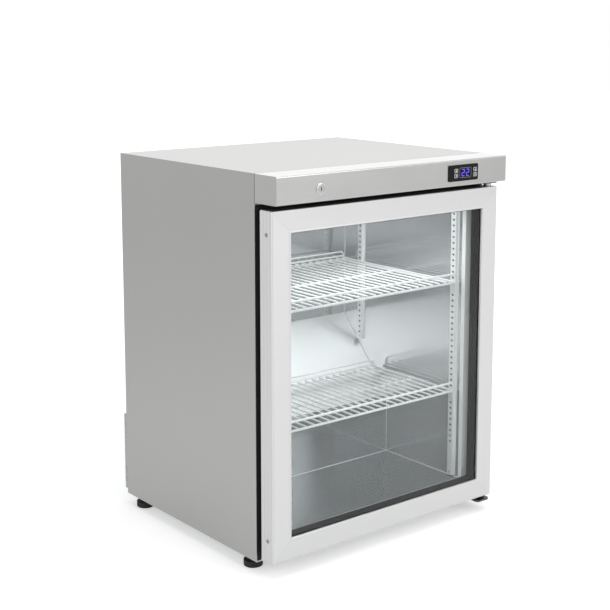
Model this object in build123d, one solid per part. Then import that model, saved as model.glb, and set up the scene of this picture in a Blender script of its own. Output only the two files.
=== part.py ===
from build123d import *
import math
import os

# An under-counter refrigerator with a glass door: a foam-filled stainless cabinet, a header
# (fascia) that carries the lock and the temperature controller, one hinged glass door, two wire
# shelves, and a compressor compartment under a sloped hump at the rear.
#
# Axes: +X to the right seen from the front, +Y to the rear, +Z up. The origin lies on the floor
# under the middle of the whole refrigerator. Lengths are millimetres.

# ---------------------------------------------------------------- cabinet
CABINET_WIDTH = 600.0
CABINET_DEPTH = 472.0        # front face to rear face, without header and rear cover
CABINET_HEIGHT = 748.0       # underside to top, without the feet
SHEET = 1.0                  # steel skins and liner
SIDE_WALL = 50.0             # outside of the cabinet to the inside of the liner
CEILING_WALL = 106.0         # top of the cabinet to the liner's ceiling
FLOOR_HEIGHT = 41.0          # liner's floor above the cabinet's underside
REAR_WALL = 82.0             # back of the cabinet to the upper rear wall of the liner
MACHINE_ROOM_DEPTH = 187.0
HUMP_FOOT_HEIGHT = 174.0     # where the lower rear wall turns into the slope
HUMP_TOP_HEIGHT = 341.0      # where the slope meets the upper rear wall
HUMP_WALL = 42.0             # insulation thickness under the slope
LOW_BACK_WALL = 45.0         # insulation thickness behind the lower rear wall
MACHINE_ROOM_HEIGHT = 225.0  # ceiling of the compressor compartment
BREAKER_WIDTH = 18.0         # plastic thermal break around the opening
BREAKER_DEPTH = 10.0
REAR_RETURN = 20.0           # folded rear edge of the side panels

# ---------------------------------------------------------------- header
HEADER_DEPTH = 66.0
HEADER_HEIGHT = 54.0
HEADER_SHEET = 1.5
HEADER_EDGE_RADIUS = 3.0

# ---------------------------------------------------------------- door
DOOR_SIDE_GAP = 3.0
DOOR_TOP_GAP = 12.0
DOOR_BOTTOM_GAP = 8.0
DOOR_THICKNESS = 34.0
RAIL_WIDTH = 43.0            # face width of the aluminium profiles
RAIL_WALL = 3.0
RAIL_EDGE_RADIUS = 2.0
GLASS_POCKET = 12.0          # depth of the groove that holds the glass
GLASS_EDGE_GAP = 2.0
FRONT_LIP = 4.0
PANE = 4.0
PANE_SPACING = 12.0
SPACER_WIDTH = 7.0
GASKET_WIDTH = 20.0
GASKET_DEPTH = 12.0          # door back to cabinet face
GASKET_INSET = 12.0          # door edge to the gasket, and to the hinge axis
GASKET_SEAL_GAP = 0.3
GASKET_FIN_WIDTH = 4.0
GASKET_FIN_DEPTH = 5.0
MAGNET_WIDTH = 9.0
MAGNET_THICKNESS = 3.0
MAGNET_COVER = 1.2
KEY_LEG = 60.0
KEY_CLEARANCE = 0.2
HANDLE_STRIP = 2.5
HANDLE_SCREW_INSET = 44.0
HANDLE_SCREW_RADIUS = 2.0
HANDLE_SCREW_HEAD = (4.0, 1.2)  # radius, height
HANDLE_STRIP_CORNER = 3.0

# ---------------------------------------------------------------- hinges
HINGE_PIN_RADIUS = 4.0
HINGE_PIN_REACH = 24.0       # how far a pin goes into the door
SHOULDER_RADIUS = 8.0
BUSH_WALL = 3.0
PLATE_WIDTH = 36.0
PLATE_FRONT = 44.0           # how far the plates reach in front of the cabinet face
PLATE_UNDER = 22.0           # how far the lower plate reaches under the cabinet
TOP_PLATE = 3.0
TOP_PLATE_GAP = 6.4          # door top to the plate
TOP_LEAF_HEIGHT = 44.0
BOTTOM_PLATE = 4.0
BOTTOM_PLATE_CORNER = 6.0
HINGE_SCREW_RADIUS = 2.5
HINGE_SCREW_HEAD = (4.6, 2.0)
HINGE_SCREW_REACH = 8.0      # behind the sheet that carries the plate
TOP_SCREWS = (-10.0, 4.0)    # places beside the hinge axis
TOP_SCREW_RISE = 30.0
BOTTOM_SCREWS = (-15.0, 4.0)
BOTTOM_SCREW_DEPTH = 12.0
PIN_END_GAP = 2.0
RUNNING_GAP = 0.3
FIT = 0.05                   # radial clearance of pins, screws and bushes

# ---------------------------------------------------------------- controller and lock
CONTROLLER_INSET = 126.5     # from the cabinet's right side
BEZEL_SIZE = (83.0, 33.0)
BEZEL_STAND = 2.0
BEZEL_CORNER = 3.0
HOUSING_SIZE = (78.0, 28.0)
HOUSING_DEPTH = 52.0
HOUSING_WALL = 1.5
WINDOW_SIZE = (36.0, 23.0)
WINDOW_X = 5.2               # window centre, right of the controller's centre
WINDOW_DEPTH = 1.2
BUTTON_SIZE = (6.0, 4.6)
BUTTON_OFFSETS = {
    "button_set": (-21.0, 4.8),
    "button_down": (-21.0, -5.6),
    "button_up": (33.0, 4.8),
    "button_power": (33.0, -5.6),
}
BUTTON_STAND = 0.4
BUTTON_LENGTH = 4.6
BUTTON_GAP = 0.3
BUTTON_RIM = 0.7
BUTTON_CORNER = 1.0
BOARD_GAP = 0.6              # behind the buttons
BOARD_THICKNESS = 1.6
LOCK_INSET = 103.0           # from the cabinet's left side
LOCK_DROP = 30.0             # below the cabinet's top
LOCK_BEZEL_RADIUS = 11.0
LOCK_STAND = 2.4
LOCK_BODY_RADIUS = 9.4
LOCK_PLUG_RADIUS = 6.0
LOCK_LENGTH = 31.0           # header front to the rear end of the lock body
LOCK_NUT = (24.0, 5.0)       # across flats, thickness
KEYWAY = (2.0, 7.5)
KEYWAY_DEPTH = 11.4
PLUG_INSET = 0.6
LOCK_BEZEL_EDGE = 1.2
CAM_LENGTH = 45.0
CAM_WIDTH = 14.0
CAM_THICKNESS = 2.0
CAM_SLOT_WIDTH = 6.0
CAM_SLOT_MARGIN = 3.0

# ---------------------------------------------------------------- shelves
PILASTER_WIDTH = 24.0
PILASTER_CROWN = 14.0
PILASTER_DEPTH = 6.0
PILASTER_SHEET = 1.0
PILASTER_END_GAP = 3.0
PILASTER_SCREW_RADIUS = 1.6
PILASTER_SCREW_HEAD = (3.2, 1.2)
WALL_FIXING_REACH = 6.0      # screws and pegs, into the insulation
PEG_RADIUS = 4.0
PEG_OVERHANG = 10.0          # behind the foot of the slope
SLOT_PITCH = 12.5
SLOT_SIZE = (6.0, 4.0)       # across, high
FIRST_SLOT_HEIGHT = 119.5
FRONT_PILASTER_DEPTH = 30.0  # centre line behind the cabinet face
REAR_PILASTER_INSET = 60.0   # centre line in front of the upper rear wall
LOWER_SHELF_SLOT = 9         # which slot holds the clips
UPPER_SHELF_SLOT = 28
CLIP_SHEET = 1.5
CLIP_WIDTH = 12.0
CLIP_DROP = 15.0
CLIP_TONGUE = 13.0
CLIP_TOP = 1.7               # above the middle of the slot
SHELF_SIDE_GAP = 1.0
SHELF_FRONT_DEPTH = 16.0
UPPER_SHELF_GAP = 16.0       # to the upper rear wall
LOWER_SHELF_OVERHANG = 26.0  # over the foot of the slope
FRAME_ROD = 5.0
GRID_WIRE = 3.0
GRID_PITCH = 20.0
FRONT_RAIL_RISE = 21.0
REAR_UPSTAND = 19.0
UPSTAND_MIDDLE = 9.0

# ---------------------------------------------------------------- evaporator and probe
EVAPORATOR_SIDE_GAP = 50.0
EVAPORATOR_RISE = 39.0       # above the slope
EVAPORATOR_DROP = 32.0       # below the ceiling
EVAPORATOR_SHEET = 1.5
EVAPORATOR_PASSES = 8
COIL_MARGIN = 20.0
PROBE_SIZE = (50.0, 16.0, 12.0)
PROBE_X = 85.0
PROBE_INSET = 30.0           # in front of the upper rear wall
PROBE_CORNER = 3.0

# ---------------------------------------------------------------- machine room
TRAY_SHEET = 2.0
REAR_COVER_DEPTH = 14.0
REAR_COVER_FOOT = 8.0
REAR_COVER_TOP = 176.0
REAR_COVER_SIDE_GAP = 3.0
LOUVRE_SIZE = (70.0, 4.0)
LOUVRE_PITCH = 11.0
LOUVRE_ROWS = 11
LOUVRE_COLUMNS = 5
LOUVRE_COLUMN_PITCH = 100.0
COVER_SCREW_RADIUS = 2.0
COVER_SCREW_HEAD = (4.4, 2.2)  # radius, height
COVER_SCREW_INSET = 9.0
COVER_SCREW_EXCESS = 4.0
COMPRESSOR_SIDE = 180.0      # from the cabinet's right side
COMPRESSOR_INSET = 94.0      # from the back of the cabinet
CAN_RADIUS = 72.0
CAN_HEIGHT = 138.0
CAN_DOME = 30.0
SEAM_RADIUS = 75.0
SEAM_HEIGHT = 4.0
SEAM_PLACE = 0.45            # of the can's height
TERMINAL_BOX = (60.0, 50.0, 50.0)
TERMINAL_OFFSET = 70.0       # beside the can's middle
TERMINAL_RISE = 70.0
FOOT_PLATE = (220.0, 112.0, 3.0)
GROMMET_RADIUS = 13.0
GROMMET_HEIGHT = 14.0
MOUNT_BOLT_RADIUS = 4.0
MOUNT_SPACING = (190.0, 86.0)
MOUNT_BOLT_HEAD = 5.0
CONDENSER_SIDE = 65.0        # from the cabinet's left side
CONDENSER_HEIGHT = 150.0
CONDENSER_WIDTH = 44.0
FIN_THICKNESS = 0.6
FIN_PITCH = 6.0
FIN_COUNT = 23
TUBE_RADIUS = 4.0
TUBE_PITCH = 24.0
TUBE_PASSES = 6
TUBE_FOOT = 14.0             # tray to the lowest tube
TUBE_BEND = 0.45             # bend radius of coils, of their pitch
BEND_REACH = 16.0            # fins to the outer face of a bend
DRIER_GAP = 36.0             # fins to the drier
CAPILLARY_LEAD = 8.0
CAPILLARY_BEND = 6.0
PIPE_RADIUS = 3.0
PIPE_BEND = 8.0
LINE_RISE = 12.0             # compressor top to the discharge line
PIPE_SPREAD = 30.0           # the compressor's pipes, either side of its middle
DRIER_RADIUS = 10.0
DRIER_LENGTH = 65.0
CAPILLARY_RADIUS = 1.2
FAN_SIDE = 110.0
FAN_HEIGHT = 82.0
FAN_RADIUS = 62.0
FAN_HUB_RADIUS = 15.0
FAN_HUB_LENGTH = 16.0
FAN_BLADES = 5
FAN_BLADE_PITCH = 32.0
FAN_RUNNING_GAP = 5.0
FAN_AXLE_RADIUS = 3.0
FAN_AXLE_GRIP = 12.0         # length inside the motor
FAN_BLADE = (1.6, 34.0)      # thickness, width
SHROUD_GAP = 6.0
SHROUD_MARGIN = 12.0
SHROUD_CLEARANCE = 4.0
MOTOR_EDGE = 6.0
MOTOR_ARM = (4.0, 12.0)      # thickness, height
MOTOR_ARM_MARGIN = 8.0
MOTOR_ARM_PLACE = 16.0
SHROUD = 1.5
MOTOR_RADIUS = 30.0
MOTOR_LENGTH = 38.0
DRIP_TRAY = (100.0, 120.0, 30.0)
DRIP_TRAY_X = -70.0
DRIP_TRAY_WALL = 2.0
DRIP_TRAY_GAP = 25.0         # behind the insulated wall
DRAIN_OVER_TRAY = 16.0
DRAIN_RADIUS = 7.0
DRAIN_BORE = 5.0
DRAIN_HEIGHT = 54.0
DRAIN_DROP = 22.0
DRAIN_BEND = 12.0
GROMMET_BORE = 4.0
CORD_GROMMET_WALL = 2.5
CORD_GROMMET_FLANGE = 1.8
CORD_GROMMET_GRIP = 4.0
CORD_ENTRY_SIDE = 50.0
CORD_ENTRY_HEIGHT = 34.0

# ---------------------------------------------------------------- feet
FOOT_HEIGHT = 26.0
FOOT_RADIUS = 19.0
FOOT_PAD = 12.0
FOOT_EDGE = 2.0
FOOT_NECK_RADIUS = 11.4
FOOT_NECK_GAP = 2.0          # below the hinge plate's level
STUD_RADIUS = 5.0
STUD_REACH = 22.0            # thread above the cabinet's underside
FOOT_INSERT_RADIUS = 11.0
FOOT_SIDE_INSET = 25.0
FRONT_FOOT_DEPTH = 45.0
REAR_FOOT_INSET = 32.0

# ---------------------------------------------------------------- places worked out from them
FRONT_REACH = HEADER_DEPTH + LOCK_STAND
REAR_REACH = CABINET_DEPTH + REAR_COVER_DEPTH + COVER_SCREW_HEAD[1]
FACE_Y = (FRONT_REACH - REAR_REACH) / 2
HALF = CABINET_WIDTH / 2
INNER_HALF = HALF - SIDE_WALL
BREAKER_HALF = INNER_HALF + BREAKER_WIDTH
HEADER_FOOT = CABINET_HEIGHT - HEADER_HEIGHT
HEADER_FRONT = -HEADER_DEPTH
DOOR_TOP = HEADER_FOOT - DOOR_TOP_GAP
DOOR_FOOT = DOOR_BOTTOM_GAP
DOOR_HALF = HALF - DOOR_SIDE_GAP
DOOR_BACK = -GASKET_DEPTH
DOOR_FRONT = DOOR_BACK - DOOR_THICKNESS
FRAME_LEFT = -DOOR_HALF + HANDLE_STRIP
HINGE_X = DOOR_HALF - GASKET_INSET
HINGE_DEPTH = (DOOR_FRONT + DOOR_BACK) / 2
CEILING_HEIGHT = CABINET_HEIGHT - CEILING_WALL
INNER_DEPTH = CABINET_DEPTH - REAR_WALL
MACHINE_FRONT = CABINET_DEPTH - MACHINE_ROOM_DEPTH
LOW_BACK_DEPTH = MACHINE_FRONT - LOW_BACK_WALL
SLOPE = (HUMP_TOP_HEIGHT - HUMP_FOOT_HEIGHT) / (INNER_DEPTH - LOW_BACK_DEPTH)
BUSH_RADIUS = HINGE_PIN_RADIUS + FIT + BUSH_WALL
CAM_DEPTH = HEADER_FRONT + LOCK_LENGTH
LOCK_X = -HALF + LOCK_INSET
LOCK_HEIGHT = CABINET_HEIGHT - LOCK_DROP
CONTROLLER_X = HALF - CONTROLLER_INSET
CONTROLLER_HEIGHT = CABINET_HEIGHT - HEADER_HEIGHT / 2
REAR_PILASTER_DEPTH = INNER_DEPTH - REAR_PILASTER_INSET
UPPER_SHELF_BACK = INNER_DEPTH - UPPER_SHELF_GAP
LOWER_SHELF_BACK = LOW_BACK_DEPTH + LOWER_SHELF_OVERHANG
PEG_DEPTH = LOW_BACK_DEPTH + PEG_OVERHANG
EVAPORATOR_HALF = INNER_HALF - EVAPORATOR_SIDE_GAP
EVAPORATOR_FOOT = HUMP_TOP_HEIGHT + EVAPORATOR_RISE
EVAPORATOR_TOP = CEILING_HEIGHT - EVAPORATOR_DROP
PROBE_DEPTH = INNER_DEPTH - PROBE_INSET
COMPRESSOR_X = HALF - COMPRESSOR_SIDE
COMPRESSOR_DEPTH = CABINET_DEPTH - COMPRESSOR_INSET
CONDENSER_X = -HALF + CONDENSER_SIDE
FAN_X = -HALF + FAN_SIDE
CORD_ENTRY_X = HALF - CORD_ENTRY_SIDE
REAR_FOOT_DEPTH = CABINET_DEPTH - REAR_FOOT_INSET


def back(depth):
    """Y of a place that far behind the cabinet's front face."""
    return FACE_Y + depth


def up(height):
    """Z of a place that far above the cabinet's underside."""
    return FOOT_HEIGHT + height


def slab(x0, x1, d0, d1, h0, h1):
    """A box between two x values, two depths and two heights."""
    centre = Pos((x0 + x1) / 2, back((d0 + d1) / 2), up((h0 + h1) / 2))
    return centre * Box(abs(x1 - x0), abs(d1 - d0), abs(h1 - h0))


def rod(start, end, radius):
    """A round bar between two points given as (x, depth, height)."""
    a = Vector(start[0], back(start[1]), up(start[2]))
    b = Vector(end[0], back(end[1]), up(end[2]))
    bar = Cylinder(radius, (b - a).length, align=(Align.CENTER, Align.CENTER, Align.MIN))
    return Plane(origin=a, z_dir=b - a) * bar


def side_prism(points, x0, x1):
    """Extrudes an outline of (depth, height) points between two x values."""
    outline = Polyline(*[(back(d), up(h)) for d, h in points], close=True)
    return Pos(x0, 0, 0) * extrude(Plane.YZ * make_face(outline), amount=x1 - x0)


def face_prism(points, d0, d1):
    """Extrudes an outline of (x, height) points between two depths."""
    outline = Polyline(*[(x, up(h)) for x, h in points], close=True)
    return Pos(0, back(d0), 0) * extrude(Plane.XZ * make_face(outline), amount=d0 - d1)


def mirrored(shape):
    """The same shape on the other side of the cabinet."""
    return mirror(shape, about=Plane.YZ)


def pipe(points, radius, bend):
    """A round tube as a solid bar along straight runs and arcs."""
    route = [(x, back(d), up(h)) for x, d, h in points]
    path = FilletPolyline(*route, radius=bend)
    return sweep(Plane(origin=path @ 0, z_dir=path % 0) * Circle(radius), path)


def slope_height(depth, below):
    """Height of the plane that runs below the slope at that distance, square to it."""
    rise = SLOPE * (depth - LOW_BACK_DEPTH)
    return HUMP_FOOT_HEIGHT + rise - below * math.sqrt(1 + SLOPE**2)


def slope_depth(height, below):
    """Depth at which that plane reaches a height."""
    rise = height - HUMP_FOOT_HEIGHT + below * math.sqrt(1 + SLOPE**2)
    return LOW_BACK_DEPTH + rise / SLOPE


nodes = {}


def keep(name, *solids):
    """Files a piece under its node's name. Like pieces, such as fixings, share a node."""
    nodes.setdefault(name, []).extend(solids)


# ================================================================ feet and hinge places
foot_places = {
    "foot_front_left": (-HALF + FOOT_SIDE_INSET, FRONT_FOOT_DEPTH),
    "foot_front_right": (HALF - FOOT_SIDE_INSET, FRONT_FOOT_DEPTH),
    "foot_rear_left": (-HALF + FOOT_SIDE_INSET, REAR_FOOT_DEPTH),
    "foot_rear_right": (HALF - FOOT_SIDE_INSET, REAR_FOOT_DEPTH),
}
stud_holes = [
    rod((x, d, -SHEET), (x, d, STUD_REACH + SHEET), STUD_RADIUS + FIT)
    for x, d in foot_places.values()
]
insert_places = [
    rod((x, d, SHEET if d == FRONT_FOOT_DEPTH else TRAY_SHEET), (x, d, STUD_REACH),
        FOOT_INSERT_RADIUS)
    for x, d in foot_places.values()
]

for name, (x, d) in foot_places.items():
    pad = rod((x, d, -FOOT_HEIGHT), (x, d, -FOOT_HEIGHT + FOOT_PAD), FOOT_RADIUS)
    pad = fillet(pad.edges().group_by(Axis.Z)[0], FOOT_EDGE)
    neck_top = -BOTTOM_PLATE - FOOT_NECK_GAP
    neck = rod((x, d, -FOOT_HEIGHT + FOOT_PAD), (x, d, neck_top), FOOT_NECK_RADIUS)
    stud = rod((x, d, neck_top), (x, d, STUD_REACH), STUD_RADIUS)
    keep(name, pad + neck + stud)
keep("fixings", *[place - hole for place, hole in zip(insert_places, stud_holes)])

# ================================================================ outer skins
side_sheet = slab(HALF - SHEET, HALF, 0, CABINET_DEPTH, 0, CABINET_HEIGHT)
front_return = slab(BREAKER_HALF, HALF, 0, SHEET, 0, CABINET_HEIGHT - SHEET)
rear_return = slab(HALF - REAR_RETURN, HALF, CABINET_DEPTH - SHEET, CABINET_DEPTH,
                   0, CABINET_HEIGHT - SHEET)
cover_screw_x = HALF - REAR_COVER_SIDE_GAP - COVER_SCREW_INSET
cover_screw_places = [
    (x, h)
    for x in (-cover_screw_x, cover_screw_x)
    for h in (REAR_COVER_FOOT + COVER_SCREW_INSET, REAR_COVER_TOP - COVER_SCREW_INSET)
] + [(0.0, REAR_COVER_TOP - COVER_SCREW_INSET)]
cover_rear = CABINET_DEPTH + REAR_COVER_DEPTH
cover_screw_holes = [
    rod((x, CABINET_DEPTH - COVER_SCREW_EXCESS, h), (x, cover_rear + SHEET, h),
        COVER_SCREW_RADIUS + FIT)
    for x, h in cover_screw_places
]
top_plate_foot = DOOR_TOP + TOP_PLATE_GAP
top_screw_places = [(HINGE_X + offset, top_plate_foot + TOP_SCREW_RISE) for offset in TOP_SCREWS]
top_screw_holes = [
    rod((x, -TOP_PLATE - SHEET, h), (x, HINGE_SCREW_REACH + SHEET, h), HINGE_SCREW_RADIUS + FIT)
    for x, h in top_screw_places
]
bottom_screw_places = [(HINGE_X + offset, BOTTOM_SCREW_DEPTH) for offset in BOTTOM_SCREWS]
bottom_screw_holes = [
    rod((x, d, -BOTTOM_PLATE - SHEET), (x, d, HINGE_SCREW_REACH + SHEET), HINGE_SCREW_RADIUS + FIT)
    for x, d in bottom_screw_places
]

right_side = side_sheet + front_return + rear_return
keep("right_side_panel", right_side - cover_screw_holes - top_screw_holes)
keep("left_side_panel", mirrored(right_side) - cover_screw_holes)

keep("top_panel", slab(-HALF + SHEET, HALF - SHEET, 0, CABINET_DEPTH,
                       CABINET_HEIGHT - SHEET, CABINET_HEIGHT))
back_panel = slab(-HALF + REAR_RETURN, HALF - REAR_RETURN, CABINET_DEPTH - SHEET, CABINET_DEPTH,
                  REAR_COVER_TOP - 2 * COVER_SCREW_INSET, CABINET_HEIGHT - SHEET)
keep("back_panel", back_panel - cover_screw_holes)
keep("front_rails", slab(-BREAKER_HALF, BREAKER_HALF, 0, SHEET,
                         CEILING_HEIGHT + BREAKER_WIDTH, CABINET_HEIGHT - SHEET))
keep("front_rails", slab(-BREAKER_HALF, BREAKER_HALF, 0, SHEET,
                         0, FLOOR_HEIGHT - BREAKER_WIDTH))

breaker_outer = slab(-BREAKER_HALF, BREAKER_HALF, 0, BREAKER_DEPTH,
                     FLOOR_HEIGHT - BREAKER_WIDTH, CEILING_HEIGHT + BREAKER_WIDTH)
breaker_hole = slab(-INNER_HALF, INNER_HALF, 0, BREAKER_DEPTH, FLOOR_HEIGHT, CEILING_HEIGHT)
breaker = breaker_outer - breaker_hole
keep("thermal_break_frame", breaker)

# ================================================================ pilasters and clips
slots_to_ceiling = int((CEILING_HEIGHT - 2 * PILASTER_END_GAP - FIRST_SLOT_HEIGHT) // SLOT_PITCH)
rear_pilaster_foot = slope_height(REAR_PILASTER_DEPTH + PILASTER_WIDTH / 2, 0) + PILASTER_END_GAP
pilaster_top = CEILING_HEIGHT - PILASTER_END_GAP
wall_inner = INNER_HALF - PILASTER_SHEET
crown_inner = INNER_HALF - PILASTER_DEPTH


def pilaster(depth, foot):
    """A perforated hat-section strip on the right wall, with its foot at that height."""
    half_crown = PILASTER_CROWN / 2
    half_width = PILASTER_WIDTH / 2
    crown = slab(crown_inner, crown_inner + PILASTER_SHEET, depth - half_crown,
                 depth + half_crown, foot, pilaster_top)
    strip = crown
    for side in (-1, 1):
        web = depth + side * (half_crown - PILASTER_SHEET / 2)
        strip += slab(crown_inner, INNER_HALF, web - PILASTER_SHEET / 2,
                      web + PILASTER_SHEET / 2, foot, pilaster_top)
        strip += slab(wall_inner, INNER_HALF, depth + side * half_crown,
                      depth + side * half_width, foot, pilaster_top)
    slots = []
    for index in range(slots_to_ceiling + 1):
        height = FIRST_SLOT_HEIGHT + index * SLOT_PITCH
        if height - SLOT_PITCH > foot and height + SLOT_PITCH < pilaster_top:
            slots.append(slab(crown_inner - 1, crown_inner + 2, depth - SLOT_SIZE[0] / 2,
                              depth + SLOT_SIZE[0] / 2, height - SLOT_SIZE[1] / 2,
                              height + SLOT_SIZE[1] / 2))
    return strip - slots


def pilaster_screws(depth, foot):
    """The two fixing screws of a pilaster on the right wall."""
    screws = []
    for height in (foot + SLOT_PITCH / 2, pilaster_top - SLOT_PITCH / 2):
        head = rod((crown_inner - PILASTER_SCREW_HEAD[1], depth, height),
                   (crown_inner, depth, height), PILASTER_SCREW_HEAD[0])
        shank = rod((crown_inner, depth, height),
                    (INNER_HALF + WALL_FIXING_REACH, depth, height), PILASTER_SCREW_RADIUS)
        screws.append(head + shank)
    return screws


def pilaster_screw_holes(depth, foot):
    """Clearance for those screws through the pilaster, the liner and the insulation."""
    return [
        rod((crown_inner - 1, depth, height),
            (INNER_HALF + WALL_FIXING_REACH, depth, height), PILASTER_SCREW_RADIUS + FIT)
        for height in (foot + SLOT_PITCH / 2, pilaster_top - SLOT_PITCH / 2)
    ]


pilaster_rows = {
    "front": (FRONT_PILASTER_DEPTH, FLOOR_HEIGHT + PILASTER_END_GAP),
    "rear": (REAR_PILASTER_DEPTH, rear_pilaster_foot),
}
all_pilaster_screws = []
wall_holes = []
for row, (depth, foot) in pilaster_rows.items():
    holes = pilaster_screw_holes(depth, foot)
    strip = pilaster(depth, foot) - holes
    screws = pilaster_screws(depth, foot)
    keep("pilasters", strip, mirrored(strip))
    all_pilaster_screws += screws + [mirrored(screw) for screw in screws]
    wall_holes += holes
keep("fixings", *all_pilaster_screws)


def clip(depth, height):
    """A shelf clip hooked into a slot of a right pilaster; its tongue carries the shelf."""
    outer = crown_inner - CLIP_SHEET
    top = height + CLIP_TOP
    plate = slab(outer, crown_inner, depth - CLIP_WIDTH / 2, depth + CLIP_WIDTH / 2,
                 top - CLIP_DROP, top)
    tongue = slab(outer - CLIP_TONGUE, crown_inner, depth - CLIP_WIDTH / 2,
                  depth + CLIP_WIDTH / 2, top - CLIP_SHEET, top)
    hook = slab(outer, crown_inner + PILASTER_SHEET + 1.0, depth - SLOT_SIZE[0] / 2 + 0.3,
                depth + SLOT_SIZE[0] / 2 - 0.3, top - CLIP_SHEET, top)
    return plate + tongue + hook


def slot_height(index):
    return FIRST_SLOT_HEIGHT + index * SLOT_PITCH


PEG_REACH = PILASTER_DEPTH + CLIP_TONGUE
clip_tops = {
    "upper": slot_height(UPPER_SHELF_SLOT) + CLIP_TOP,
    "lower": slot_height(LOWER_SHELF_SLOT) + CLIP_TOP,
}
upper_clips = [clip(depth, slot_height(UPPER_SHELF_SLOT))
               for depth in (FRONT_PILASTER_DEPTH, REAR_PILASTER_DEPTH)]
keep("shelf_clips", *upper_clips, *[mirrored(one) for one in upper_clips])
lower_clip = clip(FRONT_PILASTER_DEPTH, slot_height(LOWER_SHELF_SLOT))
keep("shelf_clips", lower_clip, mirrored(lower_clip))
peg_height = clip_tops["lower"] - PEG_RADIUS
peg = rod((INNER_HALF - PEG_REACH, PEG_DEPTH, peg_height),
          (INNER_HALF + WALL_FIXING_REACH, PEG_DEPTH, peg_height), PEG_RADIUS)
keep("shelf_clips", peg, mirrored(peg))
wall_holes.append(rod((INNER_HALF - 1, PEG_DEPTH, peg_height),
                      (INNER_HALF + WALL_FIXING_REACH, PEG_DEPTH, peg_height),
                      PEG_RADIUS + FIT))
left_wall_holes = [mirrored(hole) for hole in wall_holes]

# ================================================================ shelves
shelf_half = crown_inner - CLIP_SHEET - SHELF_SIDE_GAP


def shelf(foot, rear):
    """A wire shelf: a perimeter frame, wires from front to rear, a raised front rail and a
    low upstand along the rear edge. The wires are square here."""
    front = SHELF_FRONT_DEPTH
    top = foot + FRAME_ROD
    deck = slab(-shelf_half, shelf_half, front, rear, foot, top)
    deck -= slab(-shelf_half + FRAME_ROD, shelf_half - FRAME_ROD,
                 front + FRAME_ROD, rear - FRAME_ROD, foot, top)
    middle = (front + rear) / 2
    deck += slab(-shelf_half, shelf_half, middle - FRAME_ROD / 2, middle + FRAME_ROD / 2, foot, top)
    count = int((2 * shelf_half - FRAME_ROD) // GRID_PITCH)
    first = -count * GRID_PITCH / 2
    for index in range(count + 1):
        x = first + index * GRID_PITCH
        deck += slab(x - GRID_WIRE / 2, x + GRID_WIRE / 2, front, rear, top, top + GRID_WIRE)
        deck += slab(x - GRID_WIRE / 2, x + GRID_WIRE / 2, rear - GRID_WIRE, rear,
                     top, foot + REAR_UPSTAND)
    for height in (UPSTAND_MIDDLE, REAR_UPSTAND):
        deck += slab(first, -first, rear - 2 * GRID_WIRE, rear - GRID_WIRE,
                     foot + height - GRID_WIRE, foot + height)
    rail_foot = foot + FRONT_RAIL_RISE - FRAME_ROD / 2
    deck += slab(-shelf_half, shelf_half, front, front + FRAME_ROD,
                 rail_foot, rail_foot + FRAME_ROD)
    for side in (-1, 1):
        post = side * (shelf_half - FRAME_ROD / 2)
        deck += slab(post - FRAME_ROD / 2, post + FRAME_ROD / 2, front, front + FRAME_ROD,
                     top, rail_foot)
    return deck


keep("upper_shelf", shelf(clip_tops["upper"], UPPER_SHELF_BACK))
keep("lower_shelf", shelf(clip_tops["lower"], LOWER_SHELF_BACK))

# ================================================================ liner
drain_x = DRIP_TRAY_X
drain_hole = rod((drain_x, LOW_BACK_DEPTH - 2, DRAIN_HEIGHT),
                 (drain_x, MACHINE_FRONT + 2, DRAIN_HEIGHT), DRAIN_RADIUS + FIT)
liner_inside = [
    (BREAKER_DEPTH, FLOOR_HEIGHT),
    (LOW_BACK_DEPTH, FLOOR_HEIGHT),
    (LOW_BACK_DEPTH, HUMP_FOOT_HEIGHT),
    (INNER_DEPTH, HUMP_TOP_HEIGHT),
    (INNER_DEPTH, CEILING_HEIGHT),
    (BREAKER_DEPTH, CEILING_HEIGHT),
]
liner_outside = [
    (BREAKER_DEPTH, FLOOR_HEIGHT - SHEET),
    (LOW_BACK_DEPTH + SHEET, FLOOR_HEIGHT - SHEET),
    (LOW_BACK_DEPTH + SHEET, slope_height(LOW_BACK_DEPTH + SHEET, SHEET)),
    (INNER_DEPTH + SHEET, slope_height(INNER_DEPTH + SHEET, SHEET)),
    (INNER_DEPTH + SHEET, CEILING_HEIGHT + SHEET),
    (BREAKER_DEPTH, CEILING_HEIGHT + SHEET),
]
liner_back = side_prism(liner_outside, -INNER_HALF, INNER_HALF)
liner_back -= side_prism(liner_inside, -INNER_HALF, INNER_HALF)
keep("liner", liner_back - drain_hole)
liner_side = side_prism(liner_outside, INNER_HALF, INNER_HALF + SHEET)
keep("liner", liner_side - wall_holes)
keep("liner", mirrored(liner_side) - left_wall_holes)

probe_cover = slab(PROBE_X - PROBE_SIZE[0] / 2, PROBE_X + PROBE_SIZE[0] / 2,
                   PROBE_DEPTH - PROBE_SIZE[1] / 2, PROBE_DEPTH + PROBE_SIZE[1] / 2,
                   CEILING_HEIGHT - PROBE_SIZE[2], CEILING_HEIGHT)
keep("temperature_probe", fillet(probe_cover.edges().group_by(Axis.Z)[0], PROBE_CORNER))

# ================================================================ insulation
foam_half = INNER_HALF + SHEET
foam_top = CABINET_HEIGHT - SHEET
foam_rear = CABINET_DEPTH - SHEET
foam_slope = HUMP_WALL - SHEET
foam_low_back = MACHINE_FRONT - SHEET
ceiling_of_machines = MACHINE_ROOM_HEIGHT + SHEET
knee = slope_height(foam_low_back, foam_slope)

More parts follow.
